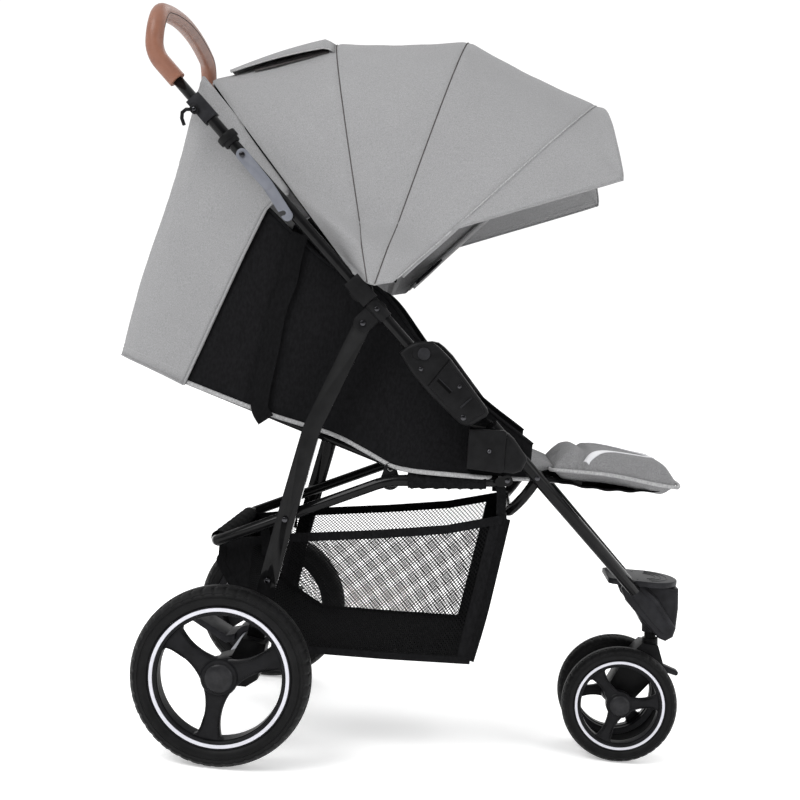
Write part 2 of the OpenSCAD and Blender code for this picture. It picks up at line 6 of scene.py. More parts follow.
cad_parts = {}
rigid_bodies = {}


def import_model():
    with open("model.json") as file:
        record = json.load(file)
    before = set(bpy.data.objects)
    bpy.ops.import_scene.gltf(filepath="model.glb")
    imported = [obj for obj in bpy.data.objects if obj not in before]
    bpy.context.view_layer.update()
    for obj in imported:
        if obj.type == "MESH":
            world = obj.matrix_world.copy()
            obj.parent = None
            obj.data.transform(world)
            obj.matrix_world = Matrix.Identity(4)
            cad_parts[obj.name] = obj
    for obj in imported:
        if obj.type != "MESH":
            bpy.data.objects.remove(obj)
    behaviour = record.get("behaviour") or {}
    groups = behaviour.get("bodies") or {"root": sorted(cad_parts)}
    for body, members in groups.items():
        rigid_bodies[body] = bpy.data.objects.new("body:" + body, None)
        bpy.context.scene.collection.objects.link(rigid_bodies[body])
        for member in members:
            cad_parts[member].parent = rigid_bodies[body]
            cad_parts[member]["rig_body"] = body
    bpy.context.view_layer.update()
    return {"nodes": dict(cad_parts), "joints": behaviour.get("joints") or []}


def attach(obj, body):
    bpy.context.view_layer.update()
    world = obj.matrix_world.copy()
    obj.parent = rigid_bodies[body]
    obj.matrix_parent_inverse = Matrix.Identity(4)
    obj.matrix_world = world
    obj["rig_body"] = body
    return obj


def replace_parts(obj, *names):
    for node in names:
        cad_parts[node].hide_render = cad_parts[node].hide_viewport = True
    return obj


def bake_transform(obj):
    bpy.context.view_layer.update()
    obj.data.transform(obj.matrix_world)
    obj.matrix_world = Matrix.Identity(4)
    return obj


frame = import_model()
nodes = frame["nodes"]
pivots = {j["name"]: Vector(j.get("pos_m", (0, 0, 0))) for j in frame["joints"]}
axleBack = 0.246  # the rear axle lies this far behind the part's origin
sides = ((-1, "Right"), (1, "Left"))
print("frame loaded:", len(nodes), "CAD nodes")


def at(x, z,
       y=0.0):  # a side-view point, measured forwards from the rear axle and up from the ground
    return Vector((x - axleBack, y, z))


def deselect():
    bpy.ops.object.select_all(action="DESELECT")


def pick(piece):
    deselect()
    piece.select_set(True)
    bpy.context.view_layer.objects.active = piece
    return piece


def settle(piece):  # puts the object's own place into its mesh
    pick(piece)
    bpy.ops.object.transform_apply(location=True, rotation=True, scale=True)
    return piece


def applied(piece, kind, **settings):
    pick(piece)
    modifier = piece.modifiers.new(kind.lower(), kind)
    for key, value in settings.items():
        setattr(modifier, key, value)
    bpy.ops.object.modifier_apply(modifier=modifier.name)
    return piece


def smooth(piece, angle=35.0):
    pick(piece)
    bpy.ops.object.shade_smooth_by_angle(angle=math.radians(angle))
    return piece


def mended(piece, weld=0.00001):  # closes doubled points and turns every face outwards
    pick(piece)
    bpy.ops.object.mode_set(mode="EDIT")
    bpy.ops.mesh.select_all(action="SELECT")
    if weld:
        bpy.ops.mesh.remove_doubles(threshold=weld)
    bpy.ops.mesh.normals_make_consistent(inside=False)
    bpy.ops.object.mode_set(mode="OBJECT")
    return piece


def copyOf(piece, name, change=None):
    copy = piece.copy()
    copy.data = piece.data.copy()
    copy.name = name
    bpy.context.collection.objects.link(copy)
    if change is not None:
        copy.data.transform(change)
        if change.determinant() < 0:
            mended(copy, None)
    return copy


def mirrored(piece, name):  # the same piece on the other side of the middle
    return copyOf(piece, name, Matrix.Diagonal((1, -1, 1, 1)))


def dress(piece, material, body=None, slot=None):
    piece.data.materials.clear()
    piece.data.materials.append(material)
    if body:
        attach(piece, body)
    return piece


# ---- Finishes ----

def shaderOf(material):
    return material.node_tree.nodes["Principled BSDF"]


def finish(name, colour, roughness, metallic=0.0, coat=0.0, coatRough=0.1, sheen=0.0, specular=0.5):
    material = bpy.data.materials.new(name)
    material.use_nodes = True
    inputs = shaderOf(material).inputs
    for key, value in (("Base Color", (*colour, 1)), ("Roughness", roughness),
            ("Metallic", metallic),
                       ("Coat Weight", coat), ("Coat Roughness", coatRough),
                       ("Sheen Weight", sheen),
                       ("Sheen Roughness", 0.4), ("Specular IOR Level", specular)):
        inputs[key].default_value = value
    return material


def nodeOf(owner, kind,
        **inputs):  # a new shader node of a material or a world, with its inputs set
    node = owner.node_tree.nodes.new(kind)
    for key, value in inputs.items():
        node.inputs[key.replace("_", " ")].default_value = value
    return node


def join(owner, source, output, target, socket):
    owner.node_tree.links.new(source.outputs[output], target.inputs[socket])


def mathOf(owner, operation, *sources):  # a sum or product of two nodes' outputs
    node = nodeOf(owner, "ShaderNodeMath")
    node.operation = operation
    for socket, (source, output) in enumerate(sources):
        join(owner, source, output, node, socket)
    return node


def placeOf(material, stretch=(1, 1, 1)):
    where = nodeOf(material, "ShaderNodeTexCoord")
    mapping = nodeOf(material, "ShaderNodeMapping", Scale=stretch)
    join(material, where, "Object", mapping, "Vector")
    return mapping


def mottle(material, colours, scale, detail=3.0, stretch=(1, 1, 1), low=0.35, high=0.65):
    # the base colour wanders between two colours
    shader = shaderOf(material)
    noise = nodeOf(material, "ShaderNodeTexNoise", Scale=scale, Detail=detail, Roughness=0.6)
    ramp = nodeOf(material, "ShaderNodeValToRGB")
    ramp.color_ramp.elements[0].position = low
    ramp.color_ramp.elements[1].position = high
    ramp.color_ramp.elements[0].color = (*colours[0], 1)
    ramp.color_ramp.elements[1].color = (*colours[1], 1)
    join(material, placeOf(material, stretch), "Vector", noise, "Vector")
    join(material, noise, "Fac", ramp, "Fac")
    join(material, ramp, "Color", shader, "Base Color")
    return ramp


def grain(material, scale, height, detail=4.0, stretch=(1, 1, 1), roughness=None):
    # fine relief, and where roughness is given, a spread of gloss with it
    shader = shaderOf(material)
    noise = nodeOf(material, "ShaderNodeTexNoise", Scale=scale, Detail=detail, Roughness=0.55)
    bump = nodeOf(material, "ShaderNodeBump", Strength=1.0, Distance=height)
    join(material, placeOf(material, stretch), "Vector", noise, "Vector")
    join(material, noise, "Fac", bump, "Height")
    join(material, bump, "Normal", shader, "Normal")
    if roughness:
        spread = nodeOf(material, "ShaderNodeMapRange", To_Min=roughness[0], To_Max=roughness[1])
        join(material, noise, "Fac", spread, "Value")
        join(material, spread, "Result", shader, "Roughness")
    return bump


def weave(material, pitch, height):
    # crossed threads, a pitch apart, seen from the side, the top and the front alike
    shader = shaderOf(material)
    mapping = placeOf(material)
    waves = []
    for direction in ("X", "Y", "Z"):
        wave = nodeOf(material, "ShaderNodeTexWave", Scale=0.5 / pitch, Distortion=0.6, Detail=1.0)
        wave.bands_direction = direction
        join(material, mapping, "Vector", wave, "Vector")
        waves.append(wave)
    both = mathOf(material, "ADD", (waves[0], "Fac"), (waves[1], "Fac"))
    total = mathOf(material, "ADD", (both, "Value"), (waves[2], "Fac"))
    bump = nodeOf(material, "ShaderNodeBump", Strength=0.8, Distance=height)
    join(material, total, "Value", bump, "Height")
    join(material, bump, "Normal", shader, "Normal")
    return bump


def paintFinish():
    material = finish("frameBlackPaint", (0.005, 0.005, 0.0055), 0.12, coat=0.1, coatRough=0.04,
            specular=0.07)
    mottle(material, ((0.004, 0.004, 0.0043), (0.007, 0.007, 0.0074)), 40)
    grain(material, 900, 0.00001, roughness=(0.08, 0.14))
    return material


def plasticFinish(name, colour, roughness, spread=0.25, specular=0.09):
    material = finish(name, colour, roughness, specular=specular)
    mottle(material, (tuple(c * (1 - spread) for c in colour),
            tuple(c * (1 + spread) for c in colour)), 60)
    grain(material, 1500, 0.00009, roughness=(roughness - 0.06, roughness + 0.08))
    return material


def metalFinish(name, colour, roughness):
    material = finish(name, colour, roughness, metallic=1.0)
    mottle(material, (tuple(c * 0.85 for c in colour), colour), 90)
    grain(material, 1200, 0.00003, stretch=(1, 1, 6), roughness=(roughness - 0.08, roughness + 0.1))
    return material


def melangeFinish(name, dark, light, coarse=520.0):
    # heathered cloth: flecks drawn out along the threads over a slow change of tone
    material = finish(name, light, 0.92, sheen=0.06, specular=0.12)
    fine = mottle(material, (dark, light), coarse, 4.0, (1, 1, 0.45), 0.36, 0.62)
    slow = nodeOf(material, "ShaderNodeTexNoise", Scale=9.0, Detail=2.0, Roughness=0.5)
    join(material, placeOf(material), "Vector", slow, "Vector")
    tone = nodeOf(material, "ShaderNodeMapRange", To_Min=0.93, To_Max=1.05)
    join(material, slow, "Fac", tone, "Value")
    mix = nodeOf(material, "ShaderNodeVectorMath")
    mix.operation = "SCALE"
    join(material, fine, "Color", mix, 0)
    join(material, tone, "Result", mix, "Scale")
    join(material, mix, "Vector", shaderOf(material), "Base Color")
    weave(material, 0.0011, 0.00012)
    return material


def blackClothFinish(name, colour=(0.0075, 0.0075, 0.0082), pitch=0.0012):
    material = finish(name, colour, 0.9, specular=0.06)
    mottle(material, (tuple(c * 0.75 for c in colour), tuple(c * 1.25 for c in colour)), 300,
           stretch=(1, 1, 0.5))
    weave(material, pitch, 0.00016)
    return material


def leatherFinish():
    material = finish("tanLeather", (0.19, 0.085, 0.056), 0.42, coat=0.06, coatRough=0.3,
            specular=0.3)
    mottle(material, ((0.165, 0.070, 0.045), (0.215, 0.096, 0.062)), 26)
    shader = shaderOf(material)
    cells = nodeOf(material, "ShaderNodeTexVoronoi", Scale=900.0)
    cells.feature = "F1"
    bump = nodeOf(material, "ShaderNodeBump", Strength=0.45, Distance=0.00022)
    join(material, placeOf(material), "Vector", cells, "Vector")
    join(material, cells, "Distance", bump, "Height")
    join(material, bump, "Normal", shader, "Normal")
    return material


paint = paintFinish()
plasticBlack = plasticFinish("mouldedBlack", (0.0065, 0.0065, 0.007), 0.44)
plasticGrey = plasticFinish("mouldedDarkGrey", (0.016, 0.016, 0.018), 0.42)
wheelPlastic = plasticFinish("wheelPlastic", (0.008, 0.008, 0.009), 0.38)
rivetSteel = metalFinish("rivetHeads", (0.06, 0.06, 0.065), 0.18)
zincGrey = metalFinish("zincGrey", (0.33, 0.34, 0.37), 0.45)
hookGrey = plasticFinish("hookBlueGrey", (0.125, 0.132, 0.155), 0.4, 0.08, 0.4)
tyreRubber = plasticFinish("tyreRubber", (0.005, 0.005, 0.0053), 0.52, specular=0.12)
melange = melangeFinish("greyMelange", (0.225, 0.225, 0.229), (0.310, 0.310, 0.315), 1300.0)
padMelange = melangeFinish("padMelange", (0.145, 0.145, 0.148), (0.26, 0.26, 0.265), 900.0)
pipingGrey = melangeFinish("pipingGrey", (0.26, 0.26, 0.262), (0.40, 0.40, 0.405))
blackCloth = blackClothFinish("blackCloth")
webbing = blackClothFinish("webbing", (0.0055, 0.0055, 0.006), 0.0016)
netCloth = blackClothFinish("netCord", (0.007, 0.007, 0.0075), 0.0009)
seamDark = blackClothFinish("seamThread", (0.075, 0.068, 0.068), 0.001)
whiteRing = plasticFinish("whiteRing", (0.62, 0.62, 0.67), 0.35, 0.04)
reflective = plasticFinish("reflectiveTape", (0.66, 0.66, 0.68), 0.3, 0.04)
tanLeather = leatherFinish()
print("finishes made")

# ---- Camera, floor and light ----

cameraValues = {"place": (0.057, -2.208, 0.633), "roll": 5.17, "lens": 62.28,
        "aim": (-65.0, -58.0, 1384.0)}


def setCamera(v):
    roll = math.radians(v["roll"])
    right = Vector((math.cos(roll), 0, math.sin(roll)))
    up = Vector((-math.sin(roll), 0, math.cos(roll)))
    ahead = (right * v["aim"][0] + up * v["aim"][1] + Vector((0, 1, 0)) * v["aim"][2]).normalized()
    right = (right - ahead * right.dot(ahead)).normalized()
    up = right.cross(ahead)
    bpy.ops.object.camera_add(location=v["place"])
    camera = bpy.context.object
    camera.rotation_euler = Matrix((right, up, -ahead)).transposed().to_euler()
    camera.data.lens = v["lens"]
    camera.data.sensor_width = 36
    camera.data.clip_start = 0.05
    bpy.context.scene.camera = camera


studio = {
    "floorSize": 60.0, "sky": 1.08, "wall": 0.12, "lift": 0.36, "target": (0, 0, 0.55),
    "lights": (("key", (-1.7, -2.3, 2.9), 1.8, 88.0), ("fill", (2.6, -2.0, 1.5), 1.6, 30.0),
               ("rim", (0.6, 1.8, 2.8), 1.4, 14.0)),
}


def setStudio(v):
    deselect()
    bpy.ops.mesh.primitive_plane_add(size=v["floorSize"], location=(0, 0, 0))
    floor = bpy.context.object
    floor.name = "floor"
    floorFinish = finish("paleFloor", (0.975, 0.975, 0.975), 0.8, specular=0.1)
    grain(floorFinish, 30, 0.0002)
    floor.data.materials.append(floorFinish)
    shaderOf(floorFinish).inputs["Emission Color"].default_value = (1, 1, 1, 1)
    shaderOf(floorFinish).inputs["Emission Strength"].default_value = v["lift"]
    settle(floor)
    world = bpy.data.worlds.new("studioSky")
    bpy.context.scene.world = world
    world.use_nodes = True
    sky = world.node_tree.nodes["Background"]
    sky.inputs["Color"].default_value = (1, 1, 1, 1)
    parts = nodeOf(world, "ShaderNodeSeparateXYZ")
    join(world, nodeOf(world, "ShaderNodeTexCoord"), "Generated", parts, "Vector")
    shades = []
    for axis, low, high in (("Y", -0.1, -0.45), ("Z", 0.93,
            0.5)):  # a dark wall low on the near side
        ramp = nodeOf(world, "ShaderNodeMapRange", From_Min=low, From_Max=high)
        ramp.interpolation_type = "SMOOTHSTEP"
        join(world, parts, axis, ramp, "Value")
        shades.append((ramp, "Result"))
    both = mathOf(world, "MULTIPLY", *shades)
    strength = nodeOf(world, "ShaderNodeMapRange", To_Min=v["sky"], To_Max=v["wall"])
    join(world, both, "Value", strength, "Value")
    join(world, strength, "Result", sky, "Strength")
    for name, place, size, energy in v["lights"]:
        bpy.ops.object.light_add(type="AREA", location=place)
        light = bpy.context.object
        light.name = name
        light.data.energy = energy
        light.data.size = size
        light.rotation_euler = (Vector(v["target"]) - Vector(place)).to_track_quat("-Z",
                "Y").to_euler()
    bpy.context.scene.view_settings.view_transform = "Standard"


setCamera(cameraValues)
setStudio(studio)
print("camera and studio set")

# ---- Ways of making ----

def clothGrid(name, across, along, shape, flat):
    # a flat grid, pulled to shape(u, v); its UV map is the flat cut in metres
    deselect()
    bpy.ops.mesh.primitive_grid_add(x_subdivisions=across, y_subdivisions=along, size=1,
            calc_uvs=True)
    piece = bpy.context.object
    piece.name = name
    for vertex in piece.data.vertices:
        vertex.co = shape(vertex.co.x + 0.5, vertex.co.y + 0.5)
    for corner in piece.data.uv_layers[0].data:
        corner.uv = (corner.uv[0] * flat[0], corner.uv[1] * flat[1])
    return piece


def stitched(piece, thickness, offset=0.0, levels=0):
    # gives a cloth its thickness and a soft surface
    applied(piece, "SOLIDIFY", thickness=thickness, offset=offset, use_even_offset=False)
    if levels:
        applied(piece, "SUBSURF", levels=levels, render_levels=levels)
    pick(piece)
    bpy.ops.object.shade_smooth()
    return piece


def areaOf(piece):
    return sum(p.area for p in piece.data.polygons)


def sewn(name, across, high, shape, cut, thickness, material, body, slot,
        offset=0.0):
    # a cloth shaped, thickened and coloured
    piece = clothGrid(name, across, high, shape, cut)
    stitched(piece, thickness, offset)
    dress(piece, material, body, slot)
    return piece


def addLine(curve, points, closed):  # a straight-sided line through points, added to a curve
    spline = curve.splines.new("POLY")
    spline.points.add(len(points) - 1)
    for spot, point in zip(spline.points, points):
        spot.co = (*point, 1)
    spline.use_cyclic_u = closed


def meshFrom(name, curve):
    piece = bpy.data.objects.new(name, curve)
    bpy.context.collection.objects.link(piece)
    pick(piece)
    bpy.ops.object.convert(target="MESH")
    piece = bpy.context.object
    piece.name = name
    return piece


def tube(name, points, radius, closed=False, steps=12):
    # a round bar drawn along points
    curve = bpy.data.curves.new(name, "CURVE")
    curve.dimensions = "3D"
    curve.resolution_u = 2
    curve.use_fill_caps = True
    addLine(curve, points, closed)
    curve.bevel_depth = radius
    curve.bevel_resolution = max(1, steps // 4 - 1)
    piece = meshFrom(name, curve)
    mended(piece)
    bpy.ops.object.shade_smooth()
    return piece


def piping(name, points, radius, material, body, slot="grey_melange", steps=8, closed=False):
    return dress(tube(name, points, radius, closed, steps), material, body, slot)


def eased(points, steps=6):
    # a smooth line through points
    out = []
    for i in range(len(points) - 1):
        a, b = points[max(i - 1, 0)], points[i]
        c, d = points[i + 1], points[min(i + 2, len(points) - 1)]
        for k in range(steps):
            t = k / steps
            out.append(0.5 * ((2 * b) + (c - a) * t + (2 * a - 5 * b + 4 * c - d) * t * t
                              + (3 * b - a - 3 * c + d) * t ** 3))
    return out + [points[-1]]


def plateFrom(name, outline, low, high, bevel=0.001, holes=(), segments=3):
    # a bevelled plate of a side-view outline, between two places across the part
    curve = bpy.data.curves.new(name, "CURVE")
    curve.dimensions = "2D"
    curve.fill_mode = "BOTH"
    curve.extrude = (high - low) / 2 - bevel
    curve.bevel_depth = bevel
    curve.bevel_resolution = segments
    curve.offset = -bevel
    for ring in (outline, *holes):
        addLine(curve, [(x, z, 0) for x, z in ring], True)
    piece = meshFrom(name, curve)
    piece.data.transform(Matrix.Rotation(math.radians(90), 4, "X"))
    piece.data.transform(Matrix.Translation((-axleBack, (low + high) / 2, 0)))
    return smooth(mended(piece))


def plate(name, outline, low, high, bevel, material, body, slot, segments=3):
    shape = plateFrom(name, outline, low, high, bevel, segments=segments)
    return dress(shape, material, body, slot)


def softened(node, material, name, width=0.0012, segments=2, angle=30.0):
    # a node's exact shape with its hard edges rounded; the new piece stands for the node
    piece = copyOf(nodes[node], name)
    piece.parent = None
    for key in list(piece.keys()):
        del piece[key]
    pick(piece)
    bpy.ops.object.mode_set(mode="EDIT")
    bpy.ops.mesh.select_all(action="SELECT")
    bpy.ops.mesh.remove_doubles(threshold=0.00002)
    bpy.ops.mesh.dissolve_limited(angle_limit=math.radians(2))
    bpy.ops.object.mode_set(mode="OBJECT")
    applied(piece, "BEVEL", width=width, segments=segments, limit_method="ANGLE",
            angle_limit=math.radians(angle),
            use_clamp_overlap=True, harden_normals=False)
    smooth(piece, 40)
    body = nodes[node]["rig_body"]
    dress(piece, material, body)
    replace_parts(piece, node)
    return piece


def walk(line, share):
    # the point a share of the steps along a line, the smoothed direction there and the step's own
    spot = share * (len(line) - 1)
    i = min(int(spot), len(line) - 2)
    ahead = line[min(i + 2, len(line) - 1)] - line[max(i - 1, 0)]
    step = line[i + 1] - line[i]
    return line[i].lerp(line[i + 1], spot - i), ahead.normalized(), step.normalized()


def wholeOf(half):  # a line from the near side to the middle, carried on to the far side
    return half + [Vector((p.x, -p.y, p.z)) for p in reversed(half[:-1])]


def strap(name, points, width, thickness, facing, material, body):
    # a flat band along points, lying square to facing
    line = eased([Vector(p) for p in points], 6)
    normal = Vector(facing).normalized()

    def shape(u, v):
        here, ahead, _ = walk(line, v)
        return here + ahead.cross(normal).normalized() * (u - 0.5) * width

    length = sum((b - a).length for a, b in zip(line, line[1:]))
    piece = clothGrid(name, 3, len(line), shape, (width, length))
    stitched(piece, thickness)
    smooth(piece, 40)
    dress(piece, material, body, "black_fabric")
    return piece


def smoothStep(t):
    t = max(0.0, min(1.0, t))
    return t * t * (3 - 2 * t)


# ---- Handle grip ----

tilt = math.radians(43.8)  # lean of the side tubes


def upFrame(d, y=0.0):  # a point d along the side tubes' axis
    return at(0.225 - d * math.cos(tilt), 0.619 + d * math.sin(tilt), y)


gripValues = {"radius": 0.0131, "back": -0.182, "bend": 0.045, "corner": 0.045, "crown": 10.0,
        "halfWidth": 0.21, "softEnd": 0.0018,
              "seam": 0.0006, "rod": 0.0080, "rodSpots": (0.300, 0.40, 0.525)}


def handleGrip(v):
    crown, w = math.radians(v["crown"]), v["halfWidth"]
    bendFrom = (0.225 - v["back"] - v["bend"] * (1 - math.sin(tilt))) / math.cos(tilt)
    centre = upFrame(bendFrom, -w) + v["bend"] * Vector((math.cos(math.pi / 2 - tilt), 0,
                                                         math.sin(math.pi / 2 - tilt)))
    cornerZ = centre.z + 0.003
    crownR = (w - v["corner"] * (1 - math.sin(crown))) / math.sin(crown)
    half = [upFrame(bendFrom - 0.034, -w), upFrame(bendFrom - 0.0235, -w),
            upFrame(bendFrom - 0.012, -w)]
    for k in range(9):
        a = math.pi + (math.pi / 2 - tilt) * (1 - k / 8)
        half.append(centre + v["bend"] * Vector((math.cos(a), 0, math.sin(a))))
    for k in range(1, 13):
        a = math.radians(80 * k / 12)
        half.append(at(v["back"], cornerZ + v["corner"] * math.sin(a),
                -w + v["corner"] * (1 - math.cos(a))))
    for k in range(9):
        a = math.radians(-8 + k)
        half.append(at(v["back"], cornerZ + v["corner"] * math.cos(crown)
                + crownR * (math.cos(a) - math.cos(crown)),
                       crownR * math.sin(a)))
    whole = wholeOf(half)
    grip = tube("leatherGrip", whole, v["radius"], steps=32)
    # the flat ends get a soft rim
    applied(grip, "BEVEL", width=v["softEnd"], segments=3, limit_method="ANGLE",
            angle_limit=math.radians(60))
    smooth(grip, 60)
    dress(grip, tanLeather, "handle", "tan_leather")
    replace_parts(grip, "handle_grip")
    stitch = [p + Vector((v["radius"] * 0.99, 0, 0)) for p in whole[14:-14]]
    piping("gripSeam", stitch, v["seam"], seamDark, "handle", "tan_leather")


handleGrip(gripValues)

for sign, tag in sides:
    spots = [upFrame(d, sign * gripValues["halfWidth"]) for d in gripValues["rodSpots"]]
    rod = piping("handleTube" + tag, spots, gripValues["rod"], paint, "handle", "frame_black", 32)
    if tag == "Right":
        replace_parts(rod, "handle_tube")
print("grip made")

# ---- Canopy ----

pivot = pivots["canopy_fold"]
canopyValues = {
    "square": 3.6, "sag": 0.004, "dip": 0.0022, "seamWide": 0.005, "across": 88, "along": 26,
    "overTube": 0.2216,
    "thick": 0.0011, "bow": 0.0031, "bowDeep": 0.0065, "bowOver": 0.205, "sleeve": 0.0049,
    "sleeveDeep": 0.0052,
    "ribs": (  # foot, crown, half width, how far up the cloth stands out over the tube
        {"foot": (0.134, 0.716), "crown": (-0.1141, 0.9944), "half": 0.1755, "out": 0.045,
         "square": 7.0},
        {"foot": (0.156, 0.704), "crown": (0.0663, 1.0735), "half": 0.1835, "out": 0.10},
        {"foot": (0.166, 0.702), "crown": (0.2686, 1.0918), "half": 0.1915, "out": 0.10},
        {"foot": (0.193, 0.709), "crown": (0.4720, 1.0100), "half": 0.1990, "out": 0.09}),
}


def spread(u):  # brings points closer together towards the feet
    return 0.5 * (2 * u) ** 2.4 if u < 0.5 else 1 - 0.5 * (2 - 2 * u) ** 2.4


def ribPoint(rib, u, square, over):
    # a point on a bow, from the near foot over the crown to the far foot, and the way the cloth
    # faces there
    square = rib.get("square", square)
    turn = math.pi * u
    c, s = math.cos(turn), max(0.0, math.sin(turn))
    reach = s ** (2 / square)
    side = -math.copysign(abs(c) ** (2 / square), c)
    foot, crown = at(*rib["foot"]), at(*rib["crown"])
    long = (crown - foot).length
    lift = smoothStep((rib["out"] - reach * long) / 0.05)
    width = rib["half"] + (over - rib["half"]) * lift
    point = foot + (crown - foot) * reach + Vector((0, side * width, 0))
    facing = (crown - foot).normalized() * reach ** (square - 1) / long + Vector(
        (0, math.copysign(abs(side) ** (square - 1) / rib["half"], side), 0))
    return point, facing.normalized()


def canopyPanel(name, first, second, v):
    def shape(u, w):
        u = spread(u)
        t = w - math.sin(2 * math.pi * w) * 0.85 / (2 * math.pi)
        a, facingA = ribPoint(first, u, v["square"], v["overTube"])
        b, facingB = ribPoint(second, u, v["square"], v["overTube"])
        facing = facingA.lerp(facingB, t).normalized()
        gap = (b - a).length
        near = min(t, 1 - t) * gap
        dip = v["dip"] * math.exp(-(near / v["seamWide"]) ** 2)
        wave = 0.0004 * math.sin(7 * t * math.pi + 9 * u) * math.sin(math.pi
                * t) * math.sin(math.pi * u)
        fullness = 0.35 + 0.65 * math.sin(math.pi * u) ** 2
        hang = v["sag"] * 4 * t * (1 - t) * fullness * min(1, gap / 0.15)
        return a.lerp(b, t) - facing * (dip + hang + wave)

    flat = ((Vector(shape(0.5, 0)) - Vector(shape(0.5, 1))).length,
            2.1 * (at(*first["crown"]) - pivot).length)
    return clothGrid(name, v["across"], v["along"], shape, (flat[1], flat[0]))


def canopySeam(name, rib, v, body, material, radius=0.0009, inward=0.0012, uRange=(0.01, 0.99)):
    line = []
    for k in range(97):
        u = spread(uRange[0] + (uRange[1] - uRange[0]) * k / 96)
        point, facing = ribPoint(rib, u, v["square"], v["overTube"])
        line.append(point - facing * inward)
    return piping(name, line, radius, material, body)


def canopy(v):
    ribs = v["ribs"]
    bodies = ("upper_frame", "canopy_mid", "canopy_fore", "canopy_front")
    cads = ("canopy_rear_panel", "canopy_panel_2", "canopy_panel_3")
    for i, name in enumerate(("canopyRearCloth", "canopyMiddleCloth", "canopyForeCloth")):
        panel = canopyPanel(name, ribs[i], ribs[i + 1], v)
        stitched(panel, v["thick"], -1.0)
        dress(panel, melange, None, "grey_melange")
        reach = 0.16
        for rib in (ribs[i], ribs[i + 1]):
            pivot + (at(*rib["crown"]) - pivot).normalized() * reach
        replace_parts(panel, cads[i])
        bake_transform(panel)
    for i, name in ((1, "canopySeamMiddle"), (2, "canopySeamFore")):
        canopySeam(name, ribs[i], v, bodies[i], seamDark)
    for i, cad in enumerate(("canopy_rear_bow", "canopy_bow_2", "canopy_bow_3", "canopy_bow_4")):
        line = []
        for k in range(81):
            point, facing = ribPoint(ribs[i], spread(0.05 + 0.9 * k / 80), v["square"],
                    v["bowOver"])
            line.append(point - facing * v["bowDeep"])
        bow = piping("canopyBow%d" % (i + 1), line, v["bow"], paint, bodies[i], "frame_black", 16)
        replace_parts(bow, cad)
    sleeve = []
    for k in range(97):
        point, facing = ribPoint(ribs[3], spread(0.035 + 0.93 * k / 96), v["square"],
                v["overTube"] - 0.006)
        sleeve.append(point - facing * v["sleeveDeep"])
    piping("frontBowSleeve", sleeve, v["sleeve"], melange, "canopy_front", steps=16)


canopy(canopyValues)

visorValues = {
    "start": 0.118, "across": 60, "along": 14, "thick": 0.0011,
    "edge": (((0.2696, 0.7925), 0.1990), ((0.352, 0.8245), 0.1985), ((0.430, 0.8545), 0.196),
            ((0.4990, 0.8815), 0.190),
             ((0.5085, 0.8885), 0.186), ((0.5030, 0.9150), 0.180), ((0.4960, 0.9400), 0.172),
             ((0.4895, 0.9650), 0.158),
             ((0.4850, 0.9850), 0.128), ((0.4865, 0.9960), 0.080), ((0.4885, 0.9995), 0.0)),
}


def visor(v, c):
    # the cloth peak in front of the last bow: its edge runs from the hem's corner to the tip
    # and over the top
    half = [at(*p, -y) for p, y in v["edge"]]
    whole = wholeOf(eased(half, 6))
    rib = c["ribs"][3]
    fromU, toU = v["start"], 1 - v["start"]

    def shape(u, w):
        edge, _, _ = walk(whole, u)
        top, facing = ribPoint(rib, fromU + (toU - fromU) * u, c["square"], c["overTube"])
        top = top - facing * 0.003
        mid = top.lerp(edge, w)
        return mid + facing * 0.004 * math.sin(math.pi * w) * math.sin(math.pi * u)

    peak = sewn("visorCloth", v["across"], v["along"], shape, (0.9, 0.09), v["thick"], melange,
            "canopy_front",
                "grey_melange", -1.0)
    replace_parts(peak, "canopy_cover")
    piping("visorHem", whole, 0.0013, melange, "canopy_front")
    inner = [shape(k / 60, 0.9) for k in range(1, 60)]
    piping("visorStitch", inner, 0.0005, pipingGrey, "canopy_front")
    canopySeam("visorSeam", rib, c, "canopy_front", pipingGrey, radius=0.0011, inward=0.0004,
            uRange=(0.02, 0.98))


visor(visorValues, canopyValues)

flapValues = {"near": 0.345, "from": 0.17, "to": 0.985, "thick": 0.0012, "windowFrom": 0.34,
        "windowLong": 0.6}


def rearFlap(v, c):
    # a flap over the mesh window in the rear panel
    first, second = c["ribs"][0], c["ribs"][1]

    def surface(u, t, lift):
        a, facingA = ribPoint(first, u, c["square"], c["overTube"])
        b, facingB = ribPoint(second, u, c["square"], c["overTube"])
        return a.lerp(b, t) + facingA.lerp(facingB, t).normalized() * lift

    def shape(u, w):
        t = v["from"] + (v["to"] - v["from"]) * w
        spread = 0.5 + (u - 0.5) * 2 * (0.5 - v["near"]) * (0.86 + 0.14 * w)
        edge = abs(u - 0.5) * 2
        lift = 0.004 + 0.009 * math.sin(math.pi * min(1, w * 0.62 + 0.12)) * (1 - 0.15 * edge ** 6)
        return surface(spread, t, lift * min(1, (1 - w) * 14))

    sewn("windowFlap", 30, 24, shape, (0.24, 0.17), v["thick"], melange, "upper_frame",
         "grey_melange")
    rim = [shape(0, k / 20) for k in range(21)][::-1] + [shape(k / 20, 0) for k in range(21)] + [
        shape(1, k / 20) for k in range(21)]
    piping("flapHem", rim, 0.0012, pipingGrey, "upper_frame")

    def window(u, w):
        t = v["windowFrom"] + v["windowLong"] * w
        spread = 0.5 + (u - 0.5) * 2 * (0.5 - v["near"]) * 0.985
        return surface(spread, t, 0.0008)

    sewn("windowMesh", 24, 18, window, (0.2, 0.12), 0.0006, seamDark, "upper_frame", "mesh_black")


rearFlap(flapValues, canopyValues)
print("canopy made")

# ---- Cloth behind and beside the seat ----

